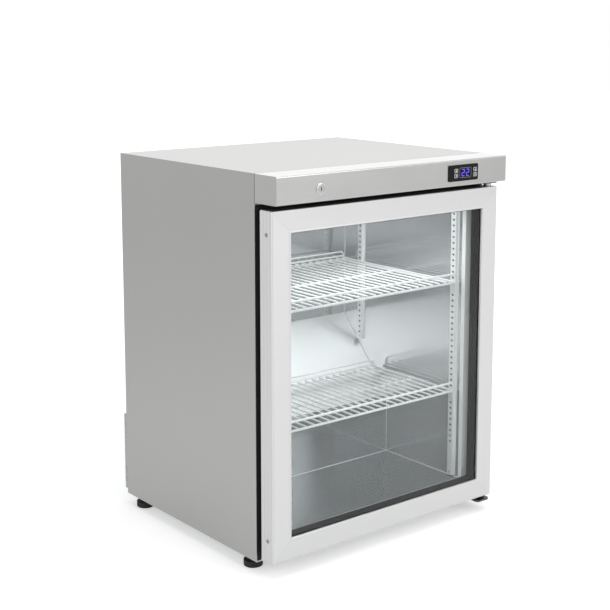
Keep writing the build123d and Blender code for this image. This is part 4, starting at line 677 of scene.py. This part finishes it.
# %% Screws of the pilasters
# A strip's screw is told by its head, 6.4 mm wide in y and z, out by a side wall, over the base.
HEAD = 6.4 * MM
NEAR = 0.5 * MM
WALL_ZONE = 200 * MM
BASE_TOP = 60 * MM
STRIP_FACE = 244 * MM


def holds_strip(low, high):
    """True if a fixing's box is that of a screw in one of the upright strips."""
    extent = high - low
    return (low.y > header_high.y and abs(low.x + high.x) / 2 > WALL_ZONE and low.z > BASE_TOP
            and abs(extent.y - HEAD) < NEAR and abs(extent.z - HEAD) < NEAR)


inner = [box for box in fixing_boxes if holds_strip(*box)]
for name, sign in (("pilaster_heads_right", 1), ("pilaster_heads_left", -1)):
    face = STRIP_FACE * sign
    points = [(face, (low.y + high.y) / 2, (low.z + high.z) / 2)
              for low, high in inner if sign * (low.x + high.x) > 0]
    heads = copies_at(name, pan_head(name + "_head", 3.3 * MM, 1.6 * MM), points,
                      (0.0, -QUARTER * sign, 0.0), zinc_plate)
    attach(heads, "cabinet")
print(len(inner), "pilaster screws")

# %% [markdown]
# The louvres of the rear cover. A press cuts each slot and pushes the metal above it out into a
# small hood, so that warm air leaves and drips stay out. One hood is a thin quarter-round wall,
# left open at its two sides; the copy tree puts it over every slot.


# %% One hood
def louvre_hood(name, width, rise, reach, wall=0.5 * MM, steps=6):
    """A curved wall over a slot: it springs from the sheet above and opens downwards."""
    body = bmesh.new()
    outer = []
    inner_line = []
    for k in range(steps + 1):
        angle = QUARTER * k / steps
        outer.append((reach * math.sin(angle), rise * math.cos(angle)))
        inner_line.append(((reach - wall) * math.sin(angle), (rise - wall) * math.cos(angle)))
    loop = outer + list(reversed(inner_line))
    ends = []
    for x in (-width / 2, width / 2):
        ends.append([body.verts.new((x, y, z)) for y, z in loop])
    bridge(body, *ends)
    body.faces.new(ends[0])
    body.faces.new(ends[1])
    return bpy.data.objects.new(name, closed_mesh(name, body))


# %% Hoods on the cover
LOUVRE_ROWS = 11
LOUVRE_COLUMNS = 5
louvre_pitch = 11 * MM
column_pitch = 100 * MM
cover_middle = (cover_low.z + cover_high.z) / 2
hood_places = [
    ((column - (LOUVRE_COLUMNS - 1) / 2) * column_pitch, cover_rear - 0.2 * MM,
     cover_middle + (row - (LOUVRE_ROWS - 1) / 2) * louvre_pitch - 2 * MM)
    for column in range(LOUVRE_COLUMNS) for row in range(LOUVRE_ROWS)
]
hoods = copies_at("cover_louvre_hoods", louvre_hood("hood", 72 * MM, 4.8 * MM, 2.2 * MM), hood_places,
                  (0.0, 0.0, 0.0), spangled_zinc)
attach(hoods, "cabinet")

# %% [markdown]
# The gasket. The real one is an extruded hose of soft PVC: a dart that clips into the door, a
# bellows that gives, and a pocket with a magnet strip. It is cut at 45 degrees and welded into a
# ring. Its outline is a rule, so it is built as rings of four corners, one for each point of the
# profile, joined one to the next. Each point is an inset from the ring's outer edge and a depth.


# %% Gasket
def corner_ring(low, high, profile):
    """A closed mesh swept round a rectangle in the xz plane. profile: (inset, depth) points, in
    metres from the outer edge and from the front."""
    body = bmesh.new()
    loops = []
    for inset, depth in profile:
        x0, x1 = low.x + inset, high.x - inset
        z0, z1 = low.z + inset, high.z - inset
        y = low.y + depth
        loops.append([body.verts.new(p) for p in ((x0, y, z0), (x1, y, z0), (x1, y, z1), (x0, y, z1))])
    for under, over in zip(loops, loops[1:] + loops[:1]):
        bridge(body, under, over)
    return closed_mesh("corner_ring", body)


gasket_depth = gasket_high.y - gasket_low.y
fin = 5 * MM
rest = gasket_depth - fin
gasket_profile = [
    (8.2 * MM, 0.0), (8.2 * MM, fin), (1.5 * MM, fin), (0.4 * MM, fin + 1.2 * MM),
    (1.9 * MM, fin + rest * 0.26), (0.3 * MM, fin + rest * 0.42), (1.6 * MM, fin + rest * 0.58),
    (0.6 * MM, gasket_depth - 1.4 * MM), (2.0 * MM, gasket_depth), (18.0 * MM, gasket_depth),
    (19.4 * MM, gasket_depth - 1.4 * MM), (18.4 * MM, fin + rest * 0.58), (19.7 * MM, fin + rest * 0.42),
    (18.1 * MM, fin + rest * 0.26), (19.6 * MM, fin + 1.2 * MM), (18.5 * MM, fin), (11.8 * MM, fin),
    (11.8 * MM, 0.0),
]
gasket = show("bellows_gasket", corner_ring(gasket_low, gasket_high, gasket_profile), gasket_pvc)
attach(gasket, "door")
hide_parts("door_gasket")

# %% [markdown]
# The strip on the door's free edge is an extrusion too: flat, with shallow flutes so that fingers
# grip it. Its section is a rule with a few points, drawn in x and y and pulled up in z, with the
# top end rounded over.


# %% Fluted strip
def fluted_strip(low, high, flutes=3, cut=0.7 * MM, corner=3 * MM, steps=5):
    """A bar with flutes in its outer face (towards -x), with rounded front corner at the top."""
    depth = high.y - low.y
    land = depth / (2 * flutes + 1)
    section = [(high.x, low.y), (high.x, high.y), (low.x, high.y)]
    for index in range(flutes):
        y = high.y - land * (2 * index + 1)
        section += [(low.x, y), (low.x + cut, y - land * 0.3),
                    (low.x + cut, y - land * 0.7), (low.x, y - land)]
    section.append((low.x, low.y))
    body = bmesh.new()
    levels = [(low.z, 0.0)]
    for k in range(steps + 1):
        angle = QUARTER * k / steps
        levels.append((high.z - corner + corner * math.sin(angle), corner * (1 - math.cos(angle))))
    loops = []
    for z, inset in levels:
        loop = []
        for x, y in section:
            loop.append(body.verts.new((x, min(max(y, low.y + inset), high.y - inset), z)))
        loops.append(loop)
    for under, over in zip(loops, loops[1:]):
        bridge(body, under, over)
    body.faces.new(list(reversed(loops[0])))
    body.faces.new(loops[-1])
    return closed_mesh("fluted_strip", body)


strip = show("fluted_edge_strip", fluted_strip(strip_low, strip_high), aluminium_up)
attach(strip, "door")
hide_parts("door_handle_strip")

# %% [markdown]
# The display shows a temperature in seven-segment digits. Each segment is a thin hexagonal plate,
# laid just in front of the smoked window so that it seems to glow through it. Which segments are
# lit for a number is a small table that every electronics book has.


# %% Digits
def glow(name, code, strength):
    """A lit surface: a plain emission with a little falloff from a fine noise."""
    material = bpy.data.materials.new(name)
    material.use_nodes = True
    tree = material.node_tree
    shader = tree.nodes["Principled BSDF"]
    place = add(tree, "ShaderNodeTexCoord").outputs["Object"]
    grain = add(tree, "ShaderNodeTexNoise", inputs={"Vector": place, "Scale": 1000.0 / 0.6})
    level = add(tree, "ShaderNodeMapRange",
                inputs={"Value": grain.outputs["Fac"], "To Min": strength * 0.85, "To Max": strength})
    shader.inputs["Base Color"].default_value = linear(code)
    shader.inputs["Emission Color"].default_value = linear(code)
    tree.links.new(level.outputs[0], shader.inputs["Emission Strength"])
    return material


SEGMENTS = {"0": "abcdef", "1": "bc", "2": "abged", "3": "abgcd", "4": "fgbc", "5": "afgcd",
            "6": "afgedc", "7": "abc", "8": "abcdefg", "9": "abcdfg"}


def plates(name, outlines, y, thickness, material):
    """Thin plates in front of a face: each outline is a list of (x, z) points, anticlockwise."""
    body = bmesh.new()
    for outline in outlines:
        near = [body.verts.new((x, y - thickness, z)) for x, z in outline]
        far = [body.verts.new((x, y, z)) for x, z in outline]
        body.faces.new(near)
        body.faces.new(list(reversed(far)))
        for k in range(len(outline)):
            after = (k + 1) % len(outline)
            body.faces.new((near[k], far[k], far[after], near[after]))
    return show(name, closed_mesh(name, body), material)


def bar(x0, z0, x1, z1, width):
    """A hexagonal bar between two points, along x or along z."""
    h = width / 2
    if abs(x1 - x0) > abs(z1 - z0):
        return [(x0, z0), (x0 + h, z0 - h), (x1 - h, z0 - h), (x1, z0), (x1 - h, z0 + h), (x0 + h, z0 + h)]
    return [(x0, z0), (x0 + h, z0 + h), (x0 + h, z1 - h), (x0, z1), (x0 - h, z1 - h), (x0 - h, z0 + h)]


def digit(sign, x, z, wide, high, width):
    """The bars of one digit whose lower left corner is at x, z."""
    spots = {
        "a": (x, z + high, x + wide, z + high), "d": (x, z, x + wide, z),
        "g": (x, z + high / 2, x + wide, z + high / 2),
        "f": (x, z + high / 2, x, z + high), "b": (x + wide, z + high / 2, x + wide, z + high),
        "e": (x, z, x, z + high / 2), "c": (x + wide, z, x + wide, z + high / 2),
    }
    return [bar(*spots[letter], width) for letter in SEGMENTS[sign]]


# %% The number on the display
violet_digits = glow("violet_digit_light", "5a48d8", 1.0)
window_middle = (window_low + window_high) / 2
digit_high = 13.0 * MM
digit_wide = 7.5 * MM
digit_pitch = 12.5 * MM
segment_width = 1.8 * MM
digit_foot = window_middle.z - digit_high / 2
outlines = []
for index, sign in enumerate("22"):
    place = window_middle.x + (index - 0.5) * digit_pitch - digit_wide / 2
    outlines += digit(sign, place, digit_foot, digit_wide, digit_high, segment_width)
number = plates("display_digits", outlines, window_low.y, 0.05 * MM, violet_digits)
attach(number, "cabinet")

# %% [markdown]
# Around the window the bezel has a printed grey line with round corners. Each button has a white
# frame round it and a white sign on it: three bars for setting, arrows for down and up, and a
# ring with a stroke for power.


# %% Printed lines and signs
def arc(x, z, radius, start, end, steps=8):
    """Points on a circle between two angles in degrees."""
    return [(x + radius * math.cos(math.radians(start + (end - start) * k / steps)),
             z + radius * math.sin(math.radians(start + (end - start) * k / steps)))
            for k in range(steps + 1)]


def ring_pieces(x, z, half_wide, half_high, corner, width):
    """A rounded rectangular line as short plates, end to end."""
    line = []
    shrunk = []
    for cx, cz, start in ((1, 1, 0), (-1, 1, 90), (-1, -1, 180), (1, -1, 270)):
        centre_x = x + cx * (half_wide - corner)
        centre_z = z + cz * (half_high - corner)
        line += arc(centre_x, centre_z, corner, start, start + 90)
        shrunk += arc(centre_x, centre_z, max(corner - width, 0.01 * MM), start, start + 90)
    count = len(line)
    return [[line[k], line[(k + 1) % count], shrunk[(k + 1) % count], shrunk[k]] for k in range(count)]


grey_print = surface("grey_printed_line", "8d9198", 0.0, 0.45, (0.6, 0.6, 0.6), 0.05, 0.05, 0.002)
white_print = surface("white_printed_sign", "e8e8ea", 0.0, 0.45, (0.6, 0.6, 0.6), 0.03, 0.05, 0.002)
outline = plates("display_outline",
                 ring_pieces(window_middle.x, window_middle.z, 16.6 * MM, 10.2 * MM, 3 * MM, 0.7 * MM),
                 window_low.y, 0.04 * MM, grey_print)
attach(outline, "cabinet")

# %% Signs on the buttons
PRINT = 0.02 * MM
s = 2.3 * MM
frames = []
for node in ("button_set", "button_down", "button_up", "button_power"):
    low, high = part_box(node)
    frames += ring_pieces((low.x + high.x) / 2, (low.z + high.z) / 2,
                          4.9 * MM, 4.0 * MM, 1.6 * MM, 0.8 * MM)
bezel_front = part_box("controller_bezel")[0].y
button_frames = plates("button_frames", frames, bezel_front, PRINT, white_print)
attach(button_frames, "cabinet")
signs = {
    "button_set": lambda x, z: [bar(x - s, z + k * 1.4 * MM, x + s, z + k * 1.4 * MM, 0.9 * MM)
                                for k in (-1, 0, 1)],
    "button_down": lambda x, z: [[(x - s, z + s * 0.7), (x, z - s * 0.8), (x + s, z + s * 0.7)]],
    "button_up": lambda x, z: [[(x - s, z - s * 0.7), (x + s, z - s * 0.7), (x, z + s * 0.8)]],
    "button_power": lambda x, z: ring_pieces(x, z, s, s, s * 0.99, 0.7 * MM)
    + [bar(x, z, x, z + s * 1.1, 0.7 * MM)],
}
for node, draw in signs.items():
    low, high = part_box(node)
    drawn = draw((low.x + high.x) / 2, (low.z + high.z) / 2)
    sign = plates(node + "_sign", drawn, low.y, PRINT, white_print)
    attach(sign, node)

# %% [markdown]
# The plug of the lock has a keyway. It is a deep slot, so almost no light comes back out of it:
# a black plate over the slot's mouth shows that better than the shallow cut can.

# %% Keyway
plug_low, plug_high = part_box("lock_plug")
key_x = (plug_low.x + plug_high.x) / 2
key_z = (plug_low.z + plug_high.z) / 2
key_wide = 0.8 * MM
key_tall = 3.4 * MM
slit = [(key_x - key_wide, key_z - key_tall), (key_x + key_wide, key_z - key_tall),
        (key_x + key_wide, key_z + key_tall), (key_x - key_wide, key_z + key_tall)]
keyway = plates("lock_keyway", [slit], plug_low.y, PRINT, black_zinc)
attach(keyway, "lock")

# %% [markdown]
# Where two sheets meet there is a joint line. The header is closed against the cabinet with a
# thin grey bead of silicone, seen as a fine dark line over the top and down the sides. The mitres
# of the door show as hairlines, because two saw cuts never close fully.

# %% Joint lines
silicone = surface("grey_silicone_bead", "5c5c5a", 0.0, 0.55, (1.0, 1.0, 1.0), 0.08, 0.05, 0.01)
LINE = 1.6 * MM
SUNK = 0.2 * MM
PROUD = 0.015 * MM


def bands(name, boxes, material):
    """Thin bands given by their low and high corners, as one mesh."""
    body = bmesh.new()
    for low, high in boxes:
        made = bmesh.ops.create_cube(body, size=1.0)
        for vertex in made["verts"]:
            for axis in range(3):
                share = vertex.co[axis] + 0.5
                vertex.co[axis] = low[axis] + (high[axis] - low[axis]) * share
    return show(name, closed_mesh(name, body), material)


joint_front = header_high.y - LINE / 2
joint_rear = header_high.y + LINE / 2
bead = bands("header_silicone_bead", [
    ((side_low.x, joint_front, header_high.z - SUNK), (-side_low.x, joint_rear, header_high.z + PROUD)),
    ((side_low.x - PROUD, joint_front, header_low.z), (side_low.x + SUNK, joint_rear, header_high.z)),
    ((-side_low.x - SUNK, joint_front, header_low.z), (-side_low.x + PROUD, joint_rear, header_high.z)),
], silicone)
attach(bead, "cabinet")

# %% Mitre hairlines
rail_low, rail_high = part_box("door_top_rail")
foot_low, foot_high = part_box("door_bottom_rail")
RAIL = 43 * MM
START = 2 * MM
hair = 0.18 * MM
corners = [(rail_low.x, rail_high.z, 1, -1), (rail_high.x, rail_high.z, -1, -1),
           (foot_low.x, foot_low.z, 1, 1), (foot_high.x, foot_low.z, -1, 1)]
mitre_outlines = []
for x, z, right_way, up_way in corners:
    near_x, near_z = x + right_way * START, z + up_way * START
    far_x, far_z = x + right_way * RAIL, z + up_way * RAIL
    mitre_outlines.append([(near_x - hair, near_z), (near_x + hair, near_z),
                           (far_x + hair, far_z), (far_x - hair, far_z)])
mitre_shadow = surface("mitre_saw_cut", "b4b4b3", 0.2, 0.5, (1.0, 1.0, 1.0), 0.05, 0.05, 0.002)
mitres = plates("mitre_hairlines", mitre_outlines, rail_low.y, PROUD, mitre_shadow)
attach(mitres, "door")

# %% [markdown]
# Round the glass runs a black seal. In a real door it is the warm-edge bar between the panes and
# a bead of black silicone behind them. It hides the groove of the profile, and seen at a slant
# it frames the glass in black. Both are rings like the gasket's, with a plainer profile.

# %% Glazing seal
panes_low, panes_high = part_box("glass_panes")
stile_low, stile_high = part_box("door_handle_stile")
hinge_low, hinge_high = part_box("door_hinge_stile")
PANE = 4 * MM
CLEAR = 0.1 * MM
opening_low = Vector((stile_high.x, 0.0, foot_high.z))
opening_high = Vector((hinge_low.x, 0.0, rail_low.z))
seal_parts = {
    "warm_edge_bar": (panes_low.y + PANE + CLEAR, panes_high.y - PANE - CLEAR, 2.2 * MM),
    "silicone_bead": (panes_high.y + CLEAR, hinge_high.y - 0.3 * MM, 1.2 * MM),
}
for name, (near, far, reach) in seal_parts.items():
    low = Vector((opening_low.x, near, opening_low.z))
    high = Vector((opening_high.x, far, opening_high.z))
    side = [(-1 * MM, 0.0), (reach, 0.0), (reach, far - near), (-1 * MM, far - near)]
    seal = show(name, corner_ring(low, high, side), gasket_pvc)
    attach(seal, "door")

# %% [markdown]
# In front of the glass the profile ends in a small rounded lip, which catches the light as a
# thin pale line around the opening.

# %% Lip of the profile
lip_low = Vector((opening_low.x, rail_low.y, opening_low.z))
lip_high = Vector((opening_high.x, rail_low.y, opening_high.z))
lip_section = [(-3.2 * MM, 0.0), (-3.0 * MM, -0.5 * MM), (-2.2 * MM, -0.8 * MM), (-0.8 * MM, -0.8 * MM),
               (0.0, -0.4 * MM), (0.3 * MM, 0.4 * MM), (0.3 * MM, 3.9 * MM), (-0.5 * MM, 3.9 * MM),
               (-0.5 * MM, 0.3 * MM)]
lip = show("opening_lip", corner_ring(lip_low, lip_high, lip_section), aluminium_up)
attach(lip, "door")

# %% [markdown]
# The gap round the door looks black. What makes it so on the real one isn't known; here black
# strips darken it as painted shade: a flat ring on the cabinet's face outside the gasket, and two
# strips on top of the door, with a channel between them for the cam of the lock. They stop short of the
# hinge.

# %% Painted shade round the door
# Painted shade: a black surface used for the dark gap round the door and behind the strips' slots.
painted_shade_black = surface("black_painted_shade", "0e0e0f", 0.0, 0.8, (0.7, 0.7, 0.7), 0.3, 0.05, 0.05)
gap_shade_low = Vector((side_low.x + 1.2 * MM, header_high.y - 0.25 * MM, side_low.z + 3 * MM))
gap_shade_high = Vector((-side_low.x - 1.2 * MM, header_high.y, header_low.z - 4 * MM))
gap_shade_section = [(0.0, 0.0), (12.5 * MM, 0.0), (12.5 * MM, 0.24 * MM), (0.0, 0.24 * MM)]
gap_shade_ring = show("face_foam_tape", corner_ring(gap_shade_low, gap_shade_high, gap_shade_section), painted_shade_black)
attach(gap_shade_ring, "cabinet")
cam_low, cam_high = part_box("lock_cam")
gap_shade_left = stile_low.x + 2.5 * MM
gap_shade_right = 262 * MM
gap_shade_under = rail_high.z
gap_shade_over = rail_high.z + 1.2 * MM
strips = bands("door_top_foam", [
    ((gap_shade_left, rail_low.y + 1.5 * MM, gap_shade_under), (gap_shade_right, cam_low.y - 2 * MM, gap_shade_over)),
    ((gap_shade_left, cam_high.y + 2 * MM, gap_shade_under), (gap_shade_right, rail_high.y - 1.5 * MM, gap_shade_over)),
], painted_shade_black)
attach(strips, "door")

# %% [markdown]
# Where the liner's sheets meet, a fabricator draws a thin bead of white sealant into each inner
# corner, so that no water gets behind the steel. The bead follows a line, which again is work
# for Geometry Nodes: a mesh of bare edges goes in, and a thin tube along every edge comes out.

# %% A bead along edges
bead_tree, given = start_tree("bead_on_edges", {
    "Radius": ("NodeSocketFloat", 0.001), "Sides": ("NodeSocketInt", 8),
    "Finish": ("NodeSocketMaterial", None),
})
path = add(bead_tree, "GeometryNodeMeshToCurve", inputs={"Mesh": given["Geometry"]})
ring = add(bead_tree, "GeometryNodeCurvePrimitiveCircle",
           inputs={"Resolution": given["Sides"], "Radius": given["Radius"]})
hose = add(bead_tree, "GeometryNodeCurveToMesh",
           inputs={"Curve": path.outputs[0], "Profile Curve": ring.outputs[0], "Fill Caps": True})
end_tree(bead_tree, hose.outputs[0], given["Finish"])
print("bead tree has", len(bead_tree.nodes), "nodes")


# %% Beads in the liner's corners
def corner_of(node, choose):
    """The vertices of a CAD node that a test picks, as (x, y, z)."""
    return [tuple(v.co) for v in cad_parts[node].data.vertices if choose(v.co)]


SHEET = 1 * MM
CLOSE = 0.2 * MM
wall = liner_high.x - SHEET
liner_floor = liner_low.z + SHEET
liner_back = liner_high.y - SHEET
lower_back_points = corner_of("liner", lambda c: abs(c.z - liner_floor) < CLOSE)
lower_back = max(y for x, y, z in lower_back_points)
foot_of_slope = max(z for x, y, z in corner_of(
    "liner", lambda c: abs(c.y - lower_back) < CLOSE and c.z < liner_floor + 200 * MM))
back_points = corner_of("liner", lambda c: abs(c.y - liner_back) < CLOSE)
head_of_slope = min(z for x, y, z in back_points)
liner_ceiling = max(z for x, y, z in back_points)
print("liner: floor", round(liner_floor, 4), "low back", round(lower_back, 4),
      "slope", round(foot_of_slope, 4), "to", round(head_of_slope, 4), "ceiling", round(liner_ceiling, 4))
starts = []
edges = []


def edge(a, b):
    """One straight run of bead, with its own end points so that it makes its own tube."""
    starts.extend((a, b))
    edges.append((len(starts) - 2, len(starts) - 1))


front_edge = liner_low.y + 2 * MM
for x in (-wall, wall):
    edge((x, front_edge, liner_floor), (x, lower_back, liner_floor))
    edge((x, lower_back, liner_floor), (x, lower_back, foot_of_slope))
    edge((x, lower_back, foot_of_slope), (x, liner_back, head_of_slope))
    edge((x, liner_back, head_of_slope), (x, liner_back, liner_ceiling))
edge((-wall, lower_back, liner_floor), (wall, lower_back, liner_floor))
bead_lines = bpy.data.meshes.new("bead_lines")
bead_lines.from_pydata(starts, edges, [])
sealant = surface("white_sealant_bead", "dfe2e2", 0.0, 0.4, (1.0, 1.0, 1.0), 0.03, 0.05, 0.01)
beads = grow("liner_corner_beads", bead_tree,
             {"Radius": 1.3 * MM, "Sides": 8, "Finish": sealant}, bead_lines)
for face in beads.data.polygons:
    face.use_smooth = True
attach(beads, "cabinet")

# %% [markdown]
# The slots of the upright strips look dark, since behind them lies a closed channel. A black strip
# inside the channel, two millimetres behind the punched face, is painted shade that gives that depth.

# %% Painted shade behind the slots
SHADE_THICKNESS = 0.4 * MM
HALF_SHADE_WIDTH = 5 * MM
BEHIND = 2.2 * MM
END_GAP = 8 * MM
# Painted shade: black strips in the channels darken the slots.
slot_shade_boxes = []
for low, high in islands("pilasters"):
    if (high.x - low.x) < 2 * MM or (high.z - low.z) < 100 * MM:
        continue
    sign = 1 if low.x > 0 else -1
    near = (low.x if sign > 0 else high.x) + sign * BEHIND
    y = (low.y + high.y) / 2
    slot_shade_boxes.append(((min(near, near + sign * SHADE_THICKNESS), y - HALF_SHADE_WIDTH, low.z + END_GAP),
                    (max(near, near + sign * SHADE_THICKNESS), y + HALF_SHADE_WIDTH, high.z - END_GAP)))
slot_shade = bands("slot_backing_tape", slot_shade_boxes, painted_shade_black)
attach(slot_shade, "cabinet")

# %% [markdown]
# The floor and the light. The floor is a plain pale sheet that keeps the shadow near the cabinet
# and grows white further out. Lamps are large and soft, as in a packshot studio: one over the
# top, one in front and to the right, and one at the left. A small one under the liner's ceiling
# lights the inside. The world gives a plain fill. To the camera, in gloss and through glass the
# world is white, so that the metal mirrors the white room it stands in.

# %% Floor
REACH = 14.0
floor_mesh = bpy.data.meshes.new("studio_floor")
floor_corners = [(-REACH, -REACH, 0), (REACH, -REACH, 0), (REACH, REACH, 0), (-REACH, REACH, 0)]
floor_mesh.from_pydata(floor_corners, [], [(0, 1, 2, 3)])
studio_floor = bpy.data.objects.new("studio_floor", floor_mesh)
bpy.context.scene.collection.objects.link(studio_floor)
floor_paint = bpy.data.materials.new("white_floor_paint")
floor_paint.use_nodes = True
tree = floor_paint.node_tree
paint = tree.nodes["Principled BSDF"]
paint.inputs["Base Color"].default_value = linear("f2f2f2")
paint.inputs["Roughness"].default_value = 0.9
paint.inputs["Specular IOR Level"].default_value = 0.0
ray = add(tree, "ShaderNodeLightPath")
seen = add(tree, "ShaderNodeMath", {"operation": "MAXIMUM"},
           {0: ray.outputs["Is Camera Ray"], 1: ray.outputs["Is Transmission Ray"]})
place = add(tree, "ShaderNodeTexCoord").outputs["Object"]
away = add(tree, "ShaderNodeVectorMath", {"operation": "LENGTH"}, {0: place})
lit = add(tree, "ShaderNodeMapRange",
          inputs={"Value": away.outputs["Value"], "From Min": 0.6, "From Max": 2.6,
                  "To Min": 0.42, "To Max": 0.8})
direct = add(tree, "ShaderNodeMath", {"operation": "MULTIPLY"},
             {0: seen.outputs[0], 1: lit.outputs[0]})
mirrored = add(tree, "ShaderNodeMath", {"operation": "MULTIPLY"},
               {0: ray.outputs["Is Glossy Ray"], 1: 0.22})
lift = add(tree, "ShaderNodeMath", {"operation": "MAXIMUM"},
           {0: direct.outputs[0], 1: mirrored.outputs[0]})
paint.inputs["Emission Color"].default_value = (1.0, 1.0, 1.0, 1.0)
tree.links.new(lift.outputs[0], paint.inputs["Emission Strength"])
floor_mesh.materials.append(floor_paint)
print("floor", 2 * REACH, "m wide")

# %% World
world = bpy.data.worlds.new("white_studio")
bpy.context.scene.world = world
world.use_nodes = True
tree = world.node_tree
ray = add(tree, "ShaderNodeLightPath")
looked = add(tree, "ShaderNodeMath", {"operation": "MAXIMUM"},
             {0: ray.outputs["Is Camera Ray"], 1: ray.outputs["Is Glossy Ray"]})
looked = add(tree, "ShaderNodeMath", {"operation": "MAXIMUM"},
             {0: looked.outputs[0], 1: ray.outputs["Is Transmission Ray"]})
fill = add(tree, "ShaderNodeBackground", inputs={"Color": (1.0, 1.0, 1.0, 1.0), "Strength": 0.55})
white = add(tree, "ShaderNodeBackground", inputs={"Color": (1.0, 1.0, 1.0, 1.0), "Strength": 1.0})
mixed = add(tree, "ShaderNodeMixShader",
            inputs={0: looked.outputs[0], 1: fill.outputs[0], 2: white.outputs[0]})
tree.links.new(mixed.outputs[0], tree.nodes["World Output"].inputs["Surface"])
print("world ready")


# %% Lamps
def soft_lamp(name, place, aim, width, power):
    """A square area lamp that looks at a point."""
    light = bpy.data.lights.new(name, "AREA")
    light.shape = "SQUARE"
    light.size = width
    light.energy = power
    lamp = bpy.data.objects.new(name, light)
    lamp.location = place
    lamp.rotation_euler = (Vector(aim) - Vector(place)).to_track_quat("-Z", "Y").to_euler()
    bpy.context.scene.collection.objects.link(lamp)


AIM = (0.0, 0.0, 0.4)
soft_lamp("ceiling_softbox", (0.0, -0.3, 2.9), AIM, 2.4, 20.0)
soft_lamp("front_softbox", (1.1, -2.9, 1.7), AIM, 1.8, 30.0)
soft_lamp("left_softbox", (-2.7, -0.8, 1.5), AIM, 1.6, 12.0)
inside = bpy.data.lights.new("interior_lamp", "AREA")
inside.shape = "RECTANGLE"
inside.size = 0.44
inside.size_y = 0.20
inside.energy = 1.15
inside_lamp = bpy.data.objects.new("interior_lamp", inside)
inside_lamp.location = (0.0, liner_low.y + 112 * MM, liner_high.z - 4 * MM)
bpy.context.scene.collection.objects.link(inside_lamp)

# %% [markdown]
# The camera stands to the front left, a little over a metre up and some two and a half metres
# away, with a lens long enough to keep the sides nearly parallel. A small shift moves the picture
# without tilting the uprights as much.

# %% Camera
VIEW = 610
FOCAL = 1277.0
SHIFT = -80.0
camera_data = bpy.data.cameras.new("packshot_camera")
camera_data.sensor_width = 36.0
camera_data.lens = FOCAL / VIEW * camera_data.sensor_width
camera_data.shift_y = SHIFT / VIEW
camera = bpy.data.objects.new("packshot_camera", camera_data)
to_the_left = 1.6766
in_front = 1.8557
over_underside = 1.0202
camera.location = (-to_the_left, header_high.y - in_front, side_low.z + over_underside)
yaw = 0.6782
pitch = 0.1577
ahead = Vector((math.sin(yaw) * math.cos(pitch), math.cos(yaw) * math.cos(pitch), -math.sin(pitch)))
camera.rotation_euler = ahead.to_track_quat("-Z", "Y").to_euler()
bpy.context.scene.collection.objects.link(camera)
bpy.context.scene.camera = camera
bpy.context.scene.view_settings.view_transform = "Standard"
print("lens", round(camera_data.lens, 1), "mm")
